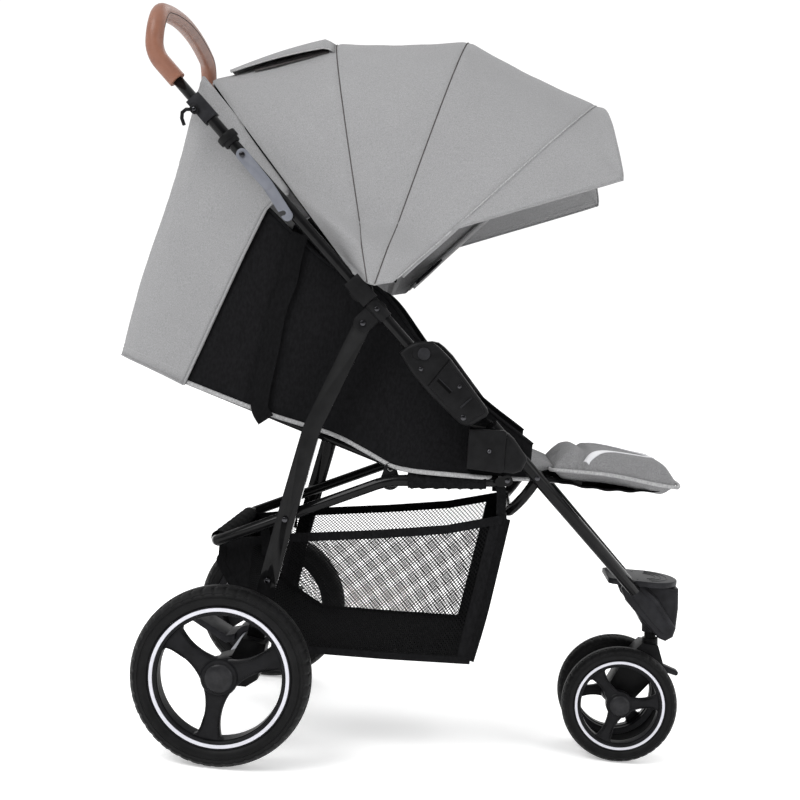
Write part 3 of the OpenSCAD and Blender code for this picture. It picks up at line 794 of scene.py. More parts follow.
drapeValues = {
    "half": 0.1695, "corner": 0.03, "thick": 0.0012,
    "rear": ((-0.1180, 0.988), (-0.1330, 0.929), (-0.1700, 0.752), (-0.1905, 0.65),
            (-0.2085, 0.566)),
    "front": ((-0.113, 0.988), (-0.0567, 0.930), (-0.0015, 0.868), (0.030, 0.832), (-0.004, 0.808),
            (-0.036, 0.728),
              (-0.072, 0.632), (-0.108, 0.533)),
}


def onLine(points, t):  # a point a share t along a broken line
    lengths = [(b - a).length for a, b in zip(points, points[1:])]
    want = t * sum(lengths)
    for i, long in enumerate(lengths):
        if want <= long or i == len(lengths) - 1:
            return points[i].lerp(points[i + 1], min(1.0, want / long))
        want -= long


def rearDrape(v):
    rear, front = [at(*p) for p in v["rear"]], [at(*p) for p in v["front"]]
    half, corner = v["half"], v["corner"]

    def section(t):  # half the way round: the near side, the corner and half of the back
        a, b = onLine(front, t), onLine(rear, t)
        a, b = Vector((a.x, -half, a.z)), Vector((b.x, -half, b.z))
        long = (b - a).length
        c = min(corner, long * 0.45)
        back = (b - a).normalized() if long > 1e-5 else Vector((-1, 0, 0))
        points = [a, a.lerp(b, 0.5), b - back * c]
        for k in range(1, 5):
            angle = math.radians(90 * k / 4)
            points.append(b - back * c + back * c * math.sin(angle)
                    + Vector((0, c * (1 - math.cos(angle)), 0)))
        points.append(Vector((b.x - 0.006, -half * 0.4, b.z)))
        points.append(Vector((b.x - 0.008, 0, b.z)))
        return points

    def shape(u, w):
        t = 1 - w
        p = onLine(wholeOf(section(t)), u)
        fold = 0.0016 * math.sin(26 * u + 2 * t) * t + 0.0012 * math.sin(9 * t + 5 * u)
        inBack = smoothStep((half - abs(p.y)) / 0.03)
        p = p + Vector((-fold * inBack * 2.4, fold * (1 - inBack),
                0.004 * math.sin(10 * u) * smoothStep(t * 2 - 1)))
        return p

    drape = sewn("rearDrapeCloth", 72, 40, shape, (0.62, 0.44), v["thick"], melange, "upper_frame",
            "grey_melange")
    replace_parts(drape, "rear_drape")
    for sign, tag in sides:
        edge = []
        for k in range(41):
            p = shape(0, 1 - k / 40)
            edge.append(Vector((p.x, sign * abs(p.y), p.z)))
        piping("drapeBinding" + tag, edge[16:], 0.0022, melange, "upper_frame", steps=12)
    hem = [shape(k / 90, 0.0) for k in range(91)]
    piping("drapeHem", hem, 0.0014, melange, "upper_frame")
    stitch = [shape(k / 90, 0.03) for k in range(91)]
    piping("drapeStitch", stitch, 0.0007, pipingGrey, "upper_frame")


rearDrape(drapeValues)

sideValues = {
    "half": 0.1636, "thick": 0.0012, "piping": 0.0034, "edge": 0.0026, "wide": 0.3,
    "flare": {"from": 0.19, "over": 0.07, "until": 0.335, "fade": 0.055, "out": 0.031, "up": 0.003},
    "top": ((-0.006, 0.806), (0.060, 0.752), (0.120, 0.715), (0.177, 0.695), (0.252, 0.611),
            (0.340, 0.541), (0.404, 0.499),
            (0.416, 0.491)),
    "bottom": ((-0.104, 0.537), (0.014, 0.503), (0.117, 0.480), (0.170, 0.459), (0.209, 0.4415),
            (0.232, 0.437), (0.268, 0.4355),
               (0.360, 0.4365), (0.416, 0.440)),
}


def sidePanels(v):
    f = v["flare"]
    top, bottom = eased([at(*p) for p in v["top"]], 5), eased([at(*p) for p in v["bottom"]], 5)

    def shape(u, w):
        p = onLine(bottom, u).lerp(onLine(top, u), w)
        slack = math.sin(math.pi * w) * math.sin(math.pi * u)
        folds = 0.0013 * math.sin(14 * (u - 0.6 * w)) + 0.0007 * math.sin(31 * u + 12 * w)
        x = p.x + axleBack
        begun = smoothStep((x - f["from"]) / f["over"])
        ended = smoothStep((x - f["until"]) / f["fade"])
        flare = begun * (1 - ended) * (1 - w) ** 3
        return Vector((p.x, -v["half"] - f["out"] * flare + slack * folds, p.z + f["up"] * flare))

    panel = clothGrid("sideClothRight", 60, 30, shape, (0.6, 0.3))
    stitched(panel, v["thick"])
    dress(panel, blackCloth, None, "black_fabric")
    other = mirrored(panel, "sideClothLeft")
    lowEdge = eased([shape(k / 40, 0.0) for k in range(41)], 2)
    highEdge = eased([shape(k / 40, 1.0) for k in range(41)], 2)
    for tag, piece in (("Right", panel), ("Left", other)):
        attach(piece, "upper_frame")
        sign = 1 if tag == "Right" else -1
        low = [Vector((p.x, p.y * sign, p.z)) for p in lowEdge]
        high = [Vector((p.x, p.y * sign, p.z)) for p in highEdge]
        piping("sidePiping" + tag, low, v["piping"], pipingGrey, "upper_frame", steps=12)
        piping("sideTopEdge" + tag, high, v["edge"], blackCloth, "upper_frame", "black_fabric", 12)
    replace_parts(panel, "side_panels")


sidePanels(sideValues)

strapLine = ((0.047, 0.770), (0.040, 0.735), (0.036, 0.700), (0.024, 0.655), (0.018, 0.600),
        (0.010, 0.540), (0.009, 0.510),
             (0.020, 0.492))
for sign, tag in sides:
    band = strap("backStrap" + tag, [at(x, z, sign * 0.1718) for x, z in strapLine], 0.026, 0.0012,
            (0, 1, 0), webbing,
                 "upper_frame")
    if tag == "Right":
        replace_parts(band, "back_straps")
print("cloth beside the seat made")

# ---- Pads ----

def pillow(name, cuts, place, voxel=0.005, pressure=4.0, cap=0.005, frames=18):
    # a subdivided box shaped by place(a, b, c), remeshed and blown up a little as cloth
    deselect()
    bpy.ops.mesh.primitive_cube_add(size=2)
    piece = bpy.context.object
    piece.name = name
    bpy.ops.object.mode_set(mode="EDIT")
    bpy.ops.mesh.select_all(action="SELECT")
    bpy.ops.mesh.subdivide(number_cuts=cuts)
    bpy.ops.object.mode_set(mode="OBJECT")
    for vertex in piece.data.vertices:
        vertex.co = place(*vertex.co)
    applied(piece, "REMESH", mode="VOXEL", voxel_size=voxel)
    scene = bpy.context.scene
    scene.frame_set(1)
    rest = [v.co.copy() for v in piece.data.vertices]
    pick(piece)
    cloth = piece.modifiers.new("cloth", "CLOTH")
    cloth.settings.quality = 4
    cloth.settings.mass = 0.2
    cloth.settings.use_pressure = True
    cloth.settings.uniform_pressure_force = pressure
    cloth.settings.effector_weights.gravity = 0
    cloth.point_cache.frame_end = frames
    for step in range(1, frames + 1):
        scene.frame_set(step)
    seen = piece.evaluated_get(bpy.context.evaluated_depsgraph_get())
    moved = [v.co.copy() for v in seen.data.vertices]
    piece.modifiers.remove(cloth)
    scene.frame_set(1)
    for vertex, old, new in zip(piece.data.vertices, rest, moved):
        step = new - old
        vertex.co = old + step * min(1.0, cap / max(step.length, 1e-9))
    applied(piece, "SMOOTH", factor=0.5, iterations=2)
    applied(piece, "SUBSURF", levels=1, render_levels=1)
    pick(piece)
    bpy.ops.object.shade_smooth()
    return piece


def pressed(piece, depthAt):
    # sewn channels: every point sinks along its normal by depthAt(point)
    normals = [v.normal.copy() for v in piece.data.vertices]
    for vertex, normal in zip(piece.data.vertices, normals):
        vertex.co -= normal * depthAt(vertex.co)


legrestValues = {"back": 0.448, "front": 0.651, "half": 0.128, "low": 0.4440, "high": 0.4805,
        "droop": 0.011, "rimDrop": 0.0085,
                 "seam": 0.503, "seamDeep": 0.006, "seamWide": 0.0065, "seamBow": 0.012,
                 "trim": 0.0102}


def legrestPad(v):
    long, mid = v["front"] - v["back"], (v["front"] + v["back"]) / 2

    def outline(a, b):  # rounded front corners, sides drawn in a little
        b2 = b * (1 - 0.035 * (1 - a * a))
        narrow = 1 - 0.10 * smoothStep((a - 0.35) / 0.65) * abs(b)
        x = mid + a * long / 2 * (1 - 0.10 * max(0.0, a) * abs(b) ** 3)
        return x, b2 * v["half"] * narrow

    def place(a, b, c):
        x, y = outline(a, b)
        rim = max(abs(a), abs(b))
        thin = 0.22 + 0.78 * (1 - smoothStep((rim - 0.72) / 0.28))
        droop = v["droop"] * smoothStep((a + 0.3) / 1.3) + v["rimDrop"] * smoothStep((rim
                - 0.6) / 0.4)
        centre = (v["low"] + v["high"]) / 2 - droop
        return at(x, centre + c * (v["high"] - v["low"]) / 2 * thin, y)

    pad = pillow("legrestPad", 30, place)
    seamX = at(v["seam"], 0).x

    def channel(p):  # the sewn line across the pad, a little bowed
        off = p.x - seamX + v["seamBow"] * (p.y / 0.13) ** 2
        across = v["seamDeep"] * math.exp(-(off / v["seamWide"]) ** 2)
        return across if p.z > v["low"] + 0.006 else 0.0
    pressed(pad, channel)
    dress(pad, padMelange, "legrest", "grey_melange")
    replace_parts(pad, "legrest_pad")
    rim = []
    for k in range(121):
        a, b = edgePoint(k / 120)
        p = place(a, b, 0.0)
        rim.append(p)
    piping("legrestPiping", rim, 0.0028, pipingGrey, "legrest", steps=12)
    nearSide = ((0.502, -0.110), (0.509, -0.102), (0.519, -0.092), (0.532, -0.081),
            (0.566, -0.056), (0.597, -0.030), (0.609, -0.013))
    loop = (*nearSide, (0.613, 0.0), *((x, -y) for x, y in reversed(nearSide)))
    course = eased([Vector((*p, 0)) for p in loop], 6)

    def band(u, w):
        here, ahead, _ = walk(course, w)
        aside = (u - 0.5) * v["trim"]
        x, y = here.x - ahead.y * aside, here.y + ahead.x * aside
        hit, where, _, _ = pad.ray_cast(at(x, 0.6, y), Vector((0, 0, -1)))
        return Vector((where.x, where.y, where.z + 0.0006)) if hit else at(x, v["high"] + 0.002, y)

    sewn("legrestTrim", 4, 110, band, (v["trim"], 0.42), 0.0012, reflective, "legrest",
         "grey_melange")
    return pad


def edgePoint(t):  # once round the square from -1 to 1
    t = (t % 1.0) * 4
    if t < 1:
        return -1 + 2 * t, -1
    if t < 2:
        return 1, -1 + 2 * (t - 1)
    if t < 3:
        return 1 - 2 * (t - 2), 1
    return -1, 1 - 2 * (t - 3)


legrestPad(legrestValues)

legrestUnder = {"back": 0.440, "front": 0.632, "half": 0.114, "z": 0.4400}


def legrestPanel(v):
    def shape(u, w):
        x = v["back"] + (v["front"] - v["back"]) * w
        y = (u - 0.5) * 2 * v["half"] * (1 - 0.10 * w * w)
        sag = -0.013 * math.sin(math.pi * w) ** 0.7 * (0.75
                + 0.25 * math.sin(math.pi * u)) - 0.002 * w
        sag += 0.0012 * math.sin(34 * w + 5 * u)
        return at(x, v["z"] + sag, y)
    panel = clothGrid("legrestUnderPanel", 20, 30, shape, (0.228, 0.192))
    stitched(panel, 0.003, 0.0, 1)
    dress(panel, blackCloth, "legrest", "black_fabric")


legrestPanel(legrestUnder)

seatValues = {"back": 0.228, "front": 0.458, "low": 0.4465, "high": 0.4655}


def seatPad(v):
    long, mid = v["front"] - v["back"], (v["front"] + v["back"]) / 2

    def place(a, b, c):
        x = mid + a * long / 2
        narrow = 0.158 - 0.049 * smoothStep((x - 0.385) / 0.08)
        rim = max(abs(a), abs(b))
        thin = 0.4 + 0.6 * (1 - smoothStep((rim - 0.75) / 0.25))
        return at(x, (v["low"] + v["high"]) / 2 + c * (v["high"] - v["low"]) / 2 * thin * 0.86,
                b * narrow * 0.99)

    pad = pillow("seatPad", 26, place, cap=0.003)
    pressed(pad, lambda p: 0.003 * math.exp(-((abs(p.y) - 0.085) / 0.005) ** 2) if p.z > v["low"]
            + 0.008 else 0.0)
    dress(pad, padMelange, "seat_base", "grey_melange")
    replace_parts(pad, "seat_pad")


seatPad(seatValues)

backValues = {"recline": 17.0, "from": 0.018, "to": 0.388, "low": 0.0075, "high": 0.0285,
        "half": 0.157,
              "columns": 0.095, "rows": (0.10, 0.18, 0.26), "grooveWide": 0.005,
              "grooveDeep": 0.0028}
backPivot = pivots["backrest_recline"]


def onBack(s, up, y=0.0):
    lean = math.radians(backValues["recline"])
    return Vector((backPivot.x - s * math.cos(lean) + up * math.sin(lean), y,
                   backPivot.z + s * math.sin(lean) + up * math.cos(lean)))


def backPad(v):
    def place(a, b, c):
        s = (v["from"] + v["to"]) / 2 + a * (v["to"] - v["from"]) / 2
        rim = max(abs(a), abs(b))
        thin = 0.4 + 0.6 * (1 - smoothStep((rim - 0.8) / 0.2))
        half = v["half"] * (1 - 0.18 * smoothStep((a - 0.55) / 0.45) ** 2)
        return onBack(s, (v["low"] + v["high"]) / 2 + c * (v["high"] - v["low"]) / 2 * thin * 0.88,
                      b * half)

    pad = pillow("backrestPad", 30, place, voxel=0.006, cap=0.003)

    def channel(p):
        lean = math.radians(v["recline"])
        s = (backPivot - p).dot(Vector((math.cos(lean), 0, -math.sin(lean))))
        groove = math.exp(-((abs(p.y) - v["columns"]) / v["grooveWide"]) ** 2)
        rows = max(math.exp(-((s - k) / v["grooveWide"]) ** 2)
                for k in v["rows"]) * (abs(p.y) < v["columns"])
        return v["grooveDeep"] * max(groove, rows)

    pressed(pad, channel)
    dress(pad, padMelange, "backrest", "grey_melange")
    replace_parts(pad, "backrest_pad")

    def panel(u, w):
        s = 0.01 + 0.365 * w
        return onBack(s, 0.001 - 0.002 * math.sin(math.pi * w) * math.sin(math.pi * u),
                (u - 0.5) * 0.29)

    under = clothGrid("backrestUnderPanel", 20, 20, panel, (0.29, 0.4))
    stitched(under, 0.0012)
    dress(under, blackCloth, "backrest", "black_fabric")


backPad(backValues)


def harness():
    for sign, tag in sides:
        line = [onBack(s, 0.031, sign * 0.046) for s in (0.325, 0.26, 0.18, 0.10, 0.065)]
        web = strap("shoulderStrap" + tag, line, 0.024, 0.0014, (0.29, 0, 0.957), webbing,
                "backrest")
        if tag == "Right":
            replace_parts(web, "harness_straps")

        def sleeve(a, b, c, sign=sign):
            s = 0.235 + a * 0.075
            rim = max(abs(a), abs(b))
            return onBack(s, 0.036 + c * 0.005 * (1 - 0.6 * smoothStep((rim - 0.7) / 0.3)),
                    sign * 0.046 + b * 0.019)

        soft = pillow("shoulderPad" + tag, 8, sleeve, voxel=0.0035, cap=0.002)
        dress(soft, padMelange, "backrest", "grey_melange")
    waist = [at(0.262, 0.4695, -0.150), at(0.285, 0.4725, -0.10), at(0.318, 0.480, -0.045),
            at(0.326, 0.484, -0.02)]
    strap("waistStrapRight", waist, 0.022, 0.0014, (0.2, 0, 1), webbing, "seat_base")
    strap("waistStrapLeft", [Vector((p.x, -p.y, p.z)) for p in waist], 0.022, 0.0014, (0.2, 0, 1),
          webbing, "seat_base")
    strap("crotchStrap", [at(0.352, 0.468), at(0.345, 0.474), at(0.338, 0.484), at(0.333, 0.490)],
          0.028, 0.0016,
          (0.7, 0, 0.5), webbing, "seat_base")


harness()
print("pads and harness made")


# ---- Basket ----

basketValues = {
    "half": 0.1575, "pitch": 0.0038, "cord": 0.0005,
    "hem": ((-0.030, 0.300), (0.071, 0.319), (0.203, 0.337), (0.300, 0.353), (0.388, 0.377)),
    "low": ((-0.028, 0.266), (0.030, 0.192), (0.100, 0.1535), (0.220, 0.1555), (0.353, 0.160)),
    "front": ((0.378, 0.306), (0.3665, 0.228)),
}


def byX(points, t):  # the point of a broken side-view line a share t along its length forwards
    x = points[0][0] + (points[-1][0] - points[0][0]) * t
    for (x0, z0), (x1, z1) in zip(points, points[1:]):
        if x <= x1 or (x1, z1) == points[-1]:
            return x, z0 + (z1 - z0) * (x - x0) / (x1 - x0)


def net(name, shape, size, pitch, cord):
    # knotted cord on the slant: a turned grid, cut to size, with its cells opened
    wide, high = size
    count = int((wide + high) / pitch) + 2
    deselect()
    bpy.ops.mesh.primitive_grid_add(x_subdivisions=count, y_subdivisions=count, size=count * pitch,
            calc_uvs=True)
    piece = bpy.context.object
    piece.name = name
    piece.data.transform(Matrix.Translation((wide / 2, high / 2,
            0)) @ Matrix.Rotation(math.radians(45), 4, "Z"))
    bpy.ops.object.mode_set(mode="EDIT")
    for place, facing in (((0, 0, 0), (-1, 0, 0)), ((wide, 0, 0), (1, 0, 0)),
            ((0, 0, 0), (0, -1, 0)),
                          ((0, high, 0), (0, 1, 0))):
        bpy.ops.mesh.select_all(action="SELECT")
        bpy.ops.mesh.bisect(plane_co=place, plane_no=facing, clear_outer=True)
    bpy.ops.mesh.select_all(action="SELECT")
    bpy.ops.mesh.select_mode(type="FACE")
    bpy.ops.mesh.inset(thickness=cord, use_individual=True)
    bpy.ops.mesh.delete(type="FACE")
    bpy.ops.object.mode_set(mode="OBJECT")
    for vertex in piece.data.vertices:
        vertex.co = shape(vertex.co.x / wide, vertex.co.y / high)
    share = areaOf(piece)
    stitched(piece, 0.0007)
    return piece, share


def basket(v):
    half = v["half"]

    def side(u, w, low, high, bulge):
        x0, z0 = byX(low, u)
        x1, z1 = byX(high, u)
        slack = bulge * math.sin(math.pi * u) * (1 + 0.35 * math.sin(17 * u + 6 * w))
        return at(x0 + (x1 - x0) * w, z0 + (z1 - z0) * w,
                -half - slack * math.sin(math.pi * (0.15 + 0.7 * w)))

    def part(first, last, bulge):  # the stretch of a side between two places along it
        def shape(u, w):
            return side(first + (last - first) * u, w, v["low"], v["hem"], bulge)
        return shape

    netting, share = net("basketNetRight", part(0.10, 0.952, 0.003), (0.31, 0.175), v["pitch"],
            v["cord"])
    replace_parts(netting, "basket")
    other = mirrored(netting, "basketNetLeft")
    for each in (netting, other):
        dress(each, netCloth, "seat_base", "mesh_black")
    for tag, first, last in (("Back", 0.0, 0.11), ("Front", 0.945, 1.0)):
        solid = clothGrid("basket%sRight" % tag, 14, 30, part(first, last, 0.0034), (0.1, 0.1))
        stitched(solid, 0.0014)
        for each in (solid, mirrored(solid, "basket%sLeft" % tag)):
            dress(each, blackCloth, "seat_base", "black_fabric")
    ring = [v["hem"][-1], *v["front"], v["low"][-1], (0.337, 0.1575), v["low"][3], (0.125, 0.1535),
            v["low"][2], v["low"][1], v["low"][0], (-0.034, 0.290), (-0.0375, 0.3165)]
    path = eased([at(*p) for p in ring], 5)

    def body(u, w):
        p = onLine(path, w)
        y = (u - 0.5) * 2 * half
        wave = 0.0022 * math.sin(11 * u + 20 * w) * math.sin(math.pi * u)
        sag = -0.004 * math.sin(math.pi * u) * smoothStep((0.2 - p.z) / 0.03)
        return Vector((p.x + wave, y, p.z + sag))

    sewn("basketBody", 24, 90, body, (0.315, 0.85), 0.0012, blackCloth, "seat_base",
         "black_fabric")
    for sign, tag in sides:
        for line, name, wide, out in ((v["hem"], "basketHem", 0.013, 0.0022),
                (v["low"], "basketLowEdge", 0.0104, 0.0022)):
            points = [at(*byX(line, k / 24), sign * (half + out * math.sin(math.pi * k / 24)
                    + 0.0006)) for k in range(25)]
            strap(name + tag, points, wide, 0.0016, (0, 1, 0), blackCloth, "seat_base")
        front = [at(*p, sign * (half + 0.0008)) for p in (v["hem"][-1], *v["front"], v["low"][-1])]
        strap("basketFrontEdge" + tag, front, 0.012, 0.0016, (0, 1, 0), webbing, "seat_base")
        back = [at(*p, sign * (half + 0.0008)) for p in (v["hem"][0], (-0.030, 0.283), v["low"][0],
                v["low"][1], v["low"][2])]
        strap("basketBackEdge" + tag, back, 0.012, 0.0016, (0, 1, 0), webbing, "seat_base")
        for x, z in ((0.030, 0.318), (0.373, 0.413)):
            loop = [at(x, z + 0.015, sign * 0.1745), at(x + 0.004, z, sign * 0.168),
                    at(x + 0.006, z - 0.030, sign * 0.1595)]
            strap("basketLoop%s%03d" % (tag, x * 1000), loop, 0.014, 0.0014, (0, 1, 0.2), webbing,
                  "seat_base")


def cuff(name, points, radius, ripple):
    # cloth gathered round a tube
    line = eased([Vector(p) for p in points], 8)

    def shape(u, w):
        here, _, ahead = walk(line, w)
        side = ahead.cross(Vector((0, 0, 1))).normalized()
        up = side.cross(ahead)
        turn = 2 * math.pi * u
        swell = radius + ripple * (math.sin(46 * w + 2 * math.sin(turn))
                + 0.6 * math.sin(91 * w + 3 * turn)) * 0.6
        return here + (side * math.cos(turn) + up * math.sin(turn)) * swell

    return sewn(name, 36, 48, shape, (0.08, 0.2), 0.001, blackCloth, "seat_base", "black_fabric",
                1.0)


basket(basketValues)
for sign, tag in sides:
    rail = [at(0.238, 0.4235, sign * 0.180), at(0.300, 0.4283, sign * 0.180),
            at(0.352, 0.4326, sign * 0.180)]
    cuff("seatSleeve" + tag, rail, 0.0122, 0.0011)
bar = [at(-0.0392, 0.306, -0.148 + 0.0296 * k) for k in range(11)]
cuff("rearBarSleeve", bar, 0.0118, 0.0007)
print("basket made")

# ---- Wheels ----


def lathe(name, profile, steps, axle, y, relief=None):
    # a closed profile of (radius, offset across) turned about an axle;
    # relief(radius, offset, turn) cuts into it
    count = len(profile)

    def shape(u, w):
        r, off = profile[round(u * count) % count]
        turn = 2 * math.pi * w
        if relief:
            r -= relief(r, off, turn)
        return Vector((axle.x + r * math.cos(turn), y + off, axle.z + r * math.sin(turn)))

    piece = clothGrid(name, count, steps, shape, (1, 1))
    return smooth(mended(piece, 0.00002), 40)


def windowRing(v, turn, inset=0.0):
    # the outline of a window between two spokes: where a disc round the axle meets one farther out
    big, far, small = v["outer"] - inset, v["far"], v["cut"] - inset
    reach = (big * big - small * small + far * far) / (2 * far)
    open_ = math.acos(reach / big)
    back = math.acos((far - reach) / small)
    points = []
    for k in range(25):
        a = -open_ + 2 * open_ * k / 24
        points.append((big * math.cos(a), big * math.sin(a)))
    for k in range(1, 24):
        a = math.pi - back + 2 * back * k / 24
        points.append((far + small * math.cos(a), small * math.sin(a)))
    c, s = math.cos(turn), math.sin(turn)
    return [(v["axle"].x + axleBack + x * c - z * s, v["axle"].z + x * s + z * c) for x,
            z in rounded(points, 24)]


def rounded(points, corner):  # takes the points off the two sharp ends of a window
    out = []
    for i, (x, z) in enumerate(points):
        if i in (0, corner):
            before, after = points[i - 1], points[(i + 1) % len(points)]
            out.append(((before[0] + x) / 2, (before[1] + z) / 2))
            out.append((x * 0.5 + (before[0] + after[0]) * 0.25,
                    z * 0.5 + (before[1] + after[1]) * 0.25))
            out.append(((after[0] + x) / 2, (after[1] + z) / 2))
        else:
            out.append((x, z))
    return out


tyreFlank = (  # shares of the tyre's depth and of its half width
    (0, 0.80), (0.10, 0.93), (0.30, 0.995), (0.42, 1), (0.44, 0.965), (0.48, 0.965), (0.50, 0.995),
    (0.64, 0.955),
    (0.66, 0.93), (0.70, 0.93), (0.72, 0.945), (0.84, 0.80), (0.93, 0.58), (0.965, 0.40),
    (0.95, 0.37), (0.95, 0.33),
    (0.985, 0.30), (1, 0.12))


def wheel(v, sign, tag):
    end, axle, y, body = v["end"], v["axle"], sign * v["track"], v["body"] + tag.lower()
    name = end + tag

    def turned(part, profile, steps, across,
            material):  # drawn for the near side, turned over on the far
        shaped = profile if sign < 0 else [(a, -b) for a, b in profile]
        return dress(lathe(name + part, shaped, steps, axle, across), material, body,
                "wheel_plastic")

    r, deep, w = v["radius"], v["deep"], v["wide"] / 2
    seat = r - deep
    flank = [(seat + deep * up, -w * out) for up, out in tyreFlank]
    profile = flank + [(a, -b) for a, b in reversed(flank)] + [(seat, w * 0.4), (seat, 0),
            (seat, -w * 0.4)]
    lugs = v["lugs"]

    def tread(radius, off, turn):
        share = (turn * lugs / (2 * math.pi) + (0.5 if off > 0 else 0.0)
                + 0.12 * abs(off) / w) % 1.0
        shoulder = smoothStep((abs(off) / w - 0.34) / 0.05) * smoothStep((radius - seat - deep
                * 0.60) / (deep * 0.06))
        return v["groove"] * shoulder * (share < 0.24)

    tyre = lathe(name + "Tyre", profile, lugs * 8, axle, y, tread)
    dress(tyre, tyreRubber, body, "tyre_rubber")
    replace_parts(tyre, "%s_tyre_%s" % (end, tag.lower()))

    inner, wall = v["outer"], seat - 0.0002
    outer = w * 0.86
    barrel = [(inner, -outer + 0.0012), (inner + 0.0012, -outer), (v["ring"][0] - 0.0004, -outer),
              (v["ring"][0], -outer + 0.0004), (v["ring"][1], -outer + 0.0004),
              (v["ring"][1] + 0.0004, -outer),
              (wall - 0.0006, -outer + 0.0002), (wall, -outer + 0.0014), (wall, outer - 0.0014),
              (wall - 0.0006, outer),
              (inner + 0.0012, outer), (inner, outer - 0.0012), (inner - 0.0004, w * 0.3),
              (inner - 0.0018, w * 0.26),
              (inner - 0.0018, -w * 0.26), (inner - 0.0004, -w * 0.3)]
    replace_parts(turned("Rim", barrel, 120, y, wheelPlastic), "%s_rim_%s" % (end, tag.lower()))
    ring = [(v["ring"][0], 0.0), (v["ring"][0] + 0.0004, -0.0006),
            (v["ring"][1] - 0.0004, -0.0006), (v["ring"][1], 0.0),
            (v["ring"][1], 0.0009), (v["ring"][0], 0.0009)]
    turned("Stripe", ring, 120, y + sign * (outer - 0.0004), whiteRing)

    faceOut, faceIn = y + sign * w * 0.66, y + sign * w * 0.10
    low, high = min(faceOut, faceIn), max(faceOut, faceIn)
    turns = [math.radians(v["start"] + 60 + 120 * k + (0 if sign < 0 else 60)) for k in range(3)]
    rimLine = [(axle.x + axleBack + (inner + 0.0004) * math.cos(2 * math.pi * k / 120),
                axle.z + (inner + 0.0004) * math.sin(2 * math.pi * k / 120)) for k in range(120)]
    windows = [windowRing(dict(v, outer=inner - 0.0016), t) for t in turns]
    spokes = plateFrom(name + "Spokes", rimLine, low, high, 0.0016, windows, 4)
    dress(spokes, wheelPlastic, body, "wheel_plastic")
    for k, t in enumerate(turns):
        line = [Vector((x - axleBack, faceOut + sign * 0.0001, z))
                for x, z in windowRing(dict(v, outer=inner - 0.0016), t, -0.0030)]
        back = [p for p in line if math.hypot(p.x - axle.x, p.z - axle.z) < inner - 0.001]
        centre = math.atan2(math.sin(t), math.cos(t))
        back.sort(key=lambda p: (math.atan2(p.z - axle.z, p.x - axle.x) - centre
                + 3 * math.pi) % (2 * math.pi))
        piping("%sRidge%d" % (name, k), back, 0.0007, wheelPlastic, body, "wheel_plastic")

    hub = v["hub"]
    boss = [(hub * 0.35, -w + 0.004), (hub - 0.0016, -w + 0.004), (hub, -w + 0.0056),
            (hub + 0.0012, -w * 0.6),
            (hub + 0.0012, w * 0.4), (hub - 0.002, w * 0.9), (hub * 0.35, w * 0.9)]
    turned("Boss", boss, 72, y, wheelPlastic)
    cap = v["cap"]
    dome = [(0.0002, -0.0040), (cap * 0.35, -0.0038), (cap * 0.66, -0.0031), (cap * 0.86, -0.0022),
            (cap * 0.96, -0.0011),
            (cap, 0.0), (cap, 0.003), (0.0002, 0.003)]
    lid = turned("Cap", dome, 72, y + sign * (w - 0.0028), capPlastic)
    if end == "rear":
        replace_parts(lid, "rear_cap_" + tag.lower())


capPlastic = plasticFinish("wheelCap", (0.02, 0.02, 0.0215), 0.22)
rearWheel = {"end": "rear", "body": "rear_wheel_", "axle": at(0, 0.130), "track": 0.270,
        "radius": 0.130, "wide": 0.044,
             "deep": 0.027, "lugs": 48, "groove": 0.0013, "outer": 0.0905, "far": 0.107,
             "cut": 0.081,
             "ring": (0.0950, 0.1003), "start": 24.4, "hub": 0.0262, "cap": 0.0205}
frontWheel = {"end": "front", "body": "front_wheel_", "axle": at(0.594, 0.090), "track": 0.047,
        "radius": 0.090,
              "wide": 0.032, "deep": 0.0185, "lugs": 40, "groove": 0.001, "outer": 0.0615,
              "far": 0.0728, "cut": 0.0551,
              "ring": (0.0656, 0.0698), "start": 10.0, "hub": 0.0195, "cap": 0.016}
for sign, tag in sides:
    for values in (rearWheel, frontWheel):
        wheel(values, sign, tag)
print("wheels made")

# ---- Hard parts ----

def camel(node):
    first, *others = node.split("_")
    return first + "".join(word.capitalize() for word in others)


softenedParts = (  # node, finish, width of the rounded edges
    ("lock_collars", plasticBlack, 0.0012), ("latch_housings", plasticGrey, 0.0016),
    ("leg_brackets", plasticBlack, 0.0014), ("canopy_mounts", plasticBlack, 0.0014),
    ("lock_hook", hookGrey, 0.0008), ("caster_fork", plasticBlack, 0.0022),
    ("swivel_lock_lever", plasticGrey, 0.0012), ("axle_housings", plasticBlack, 0.002),
    ("brake_pedal", plasticGrey, 0.0016), ("base_brackets", plasticBlack, 0.0008),
    ("harness_buckle", plasticGrey, 0.0016), ("rear_leg_tubes", paint, 0.0022),
    ("latch_lever_right", plasticBlack, 0.0008), ("latch_lever_left", plasticBlack, 0.0008),
    ("release_button_right", plasticGrey, 0.0008), ("release_button_left", plasticGrey, 0.0008),
    ("frame_rivets", rivetSteel, 0.0006), ("leg_rivets", rivetSteel, 0.0006),
    ("front_leg_rivets", rivetSteel, 0.0005), ("swivel_bushes", plasticGrey, 0.0005),
    ("front_axle", zincGrey, 0.0004), ("rear_axle", zincGrey, 0.0005))
for node, material, width in softenedParts:
    softened(node, material, "lockHooks" if node == "lock_hook" else camel(node), width)
for node in ("upper_tubes", "front_leg_tubes", "front_cross_tube", "base_tube", "base_cross_tubes",
        "legrest_frame"):
    softened(node, paint, camel(node), 0.0004, 1)
loop = [(0.0, 0.153), (0.18, 0.153), (0.345, 0.152), (0.368, 0.142), (0.378, 0.119), (0.380, 0.06)]
hoop = [onBack(s, 0.0045, -y) for s, y in loop] + [onBack(s, 0.0045, y) for s, y in reversed(loop)]
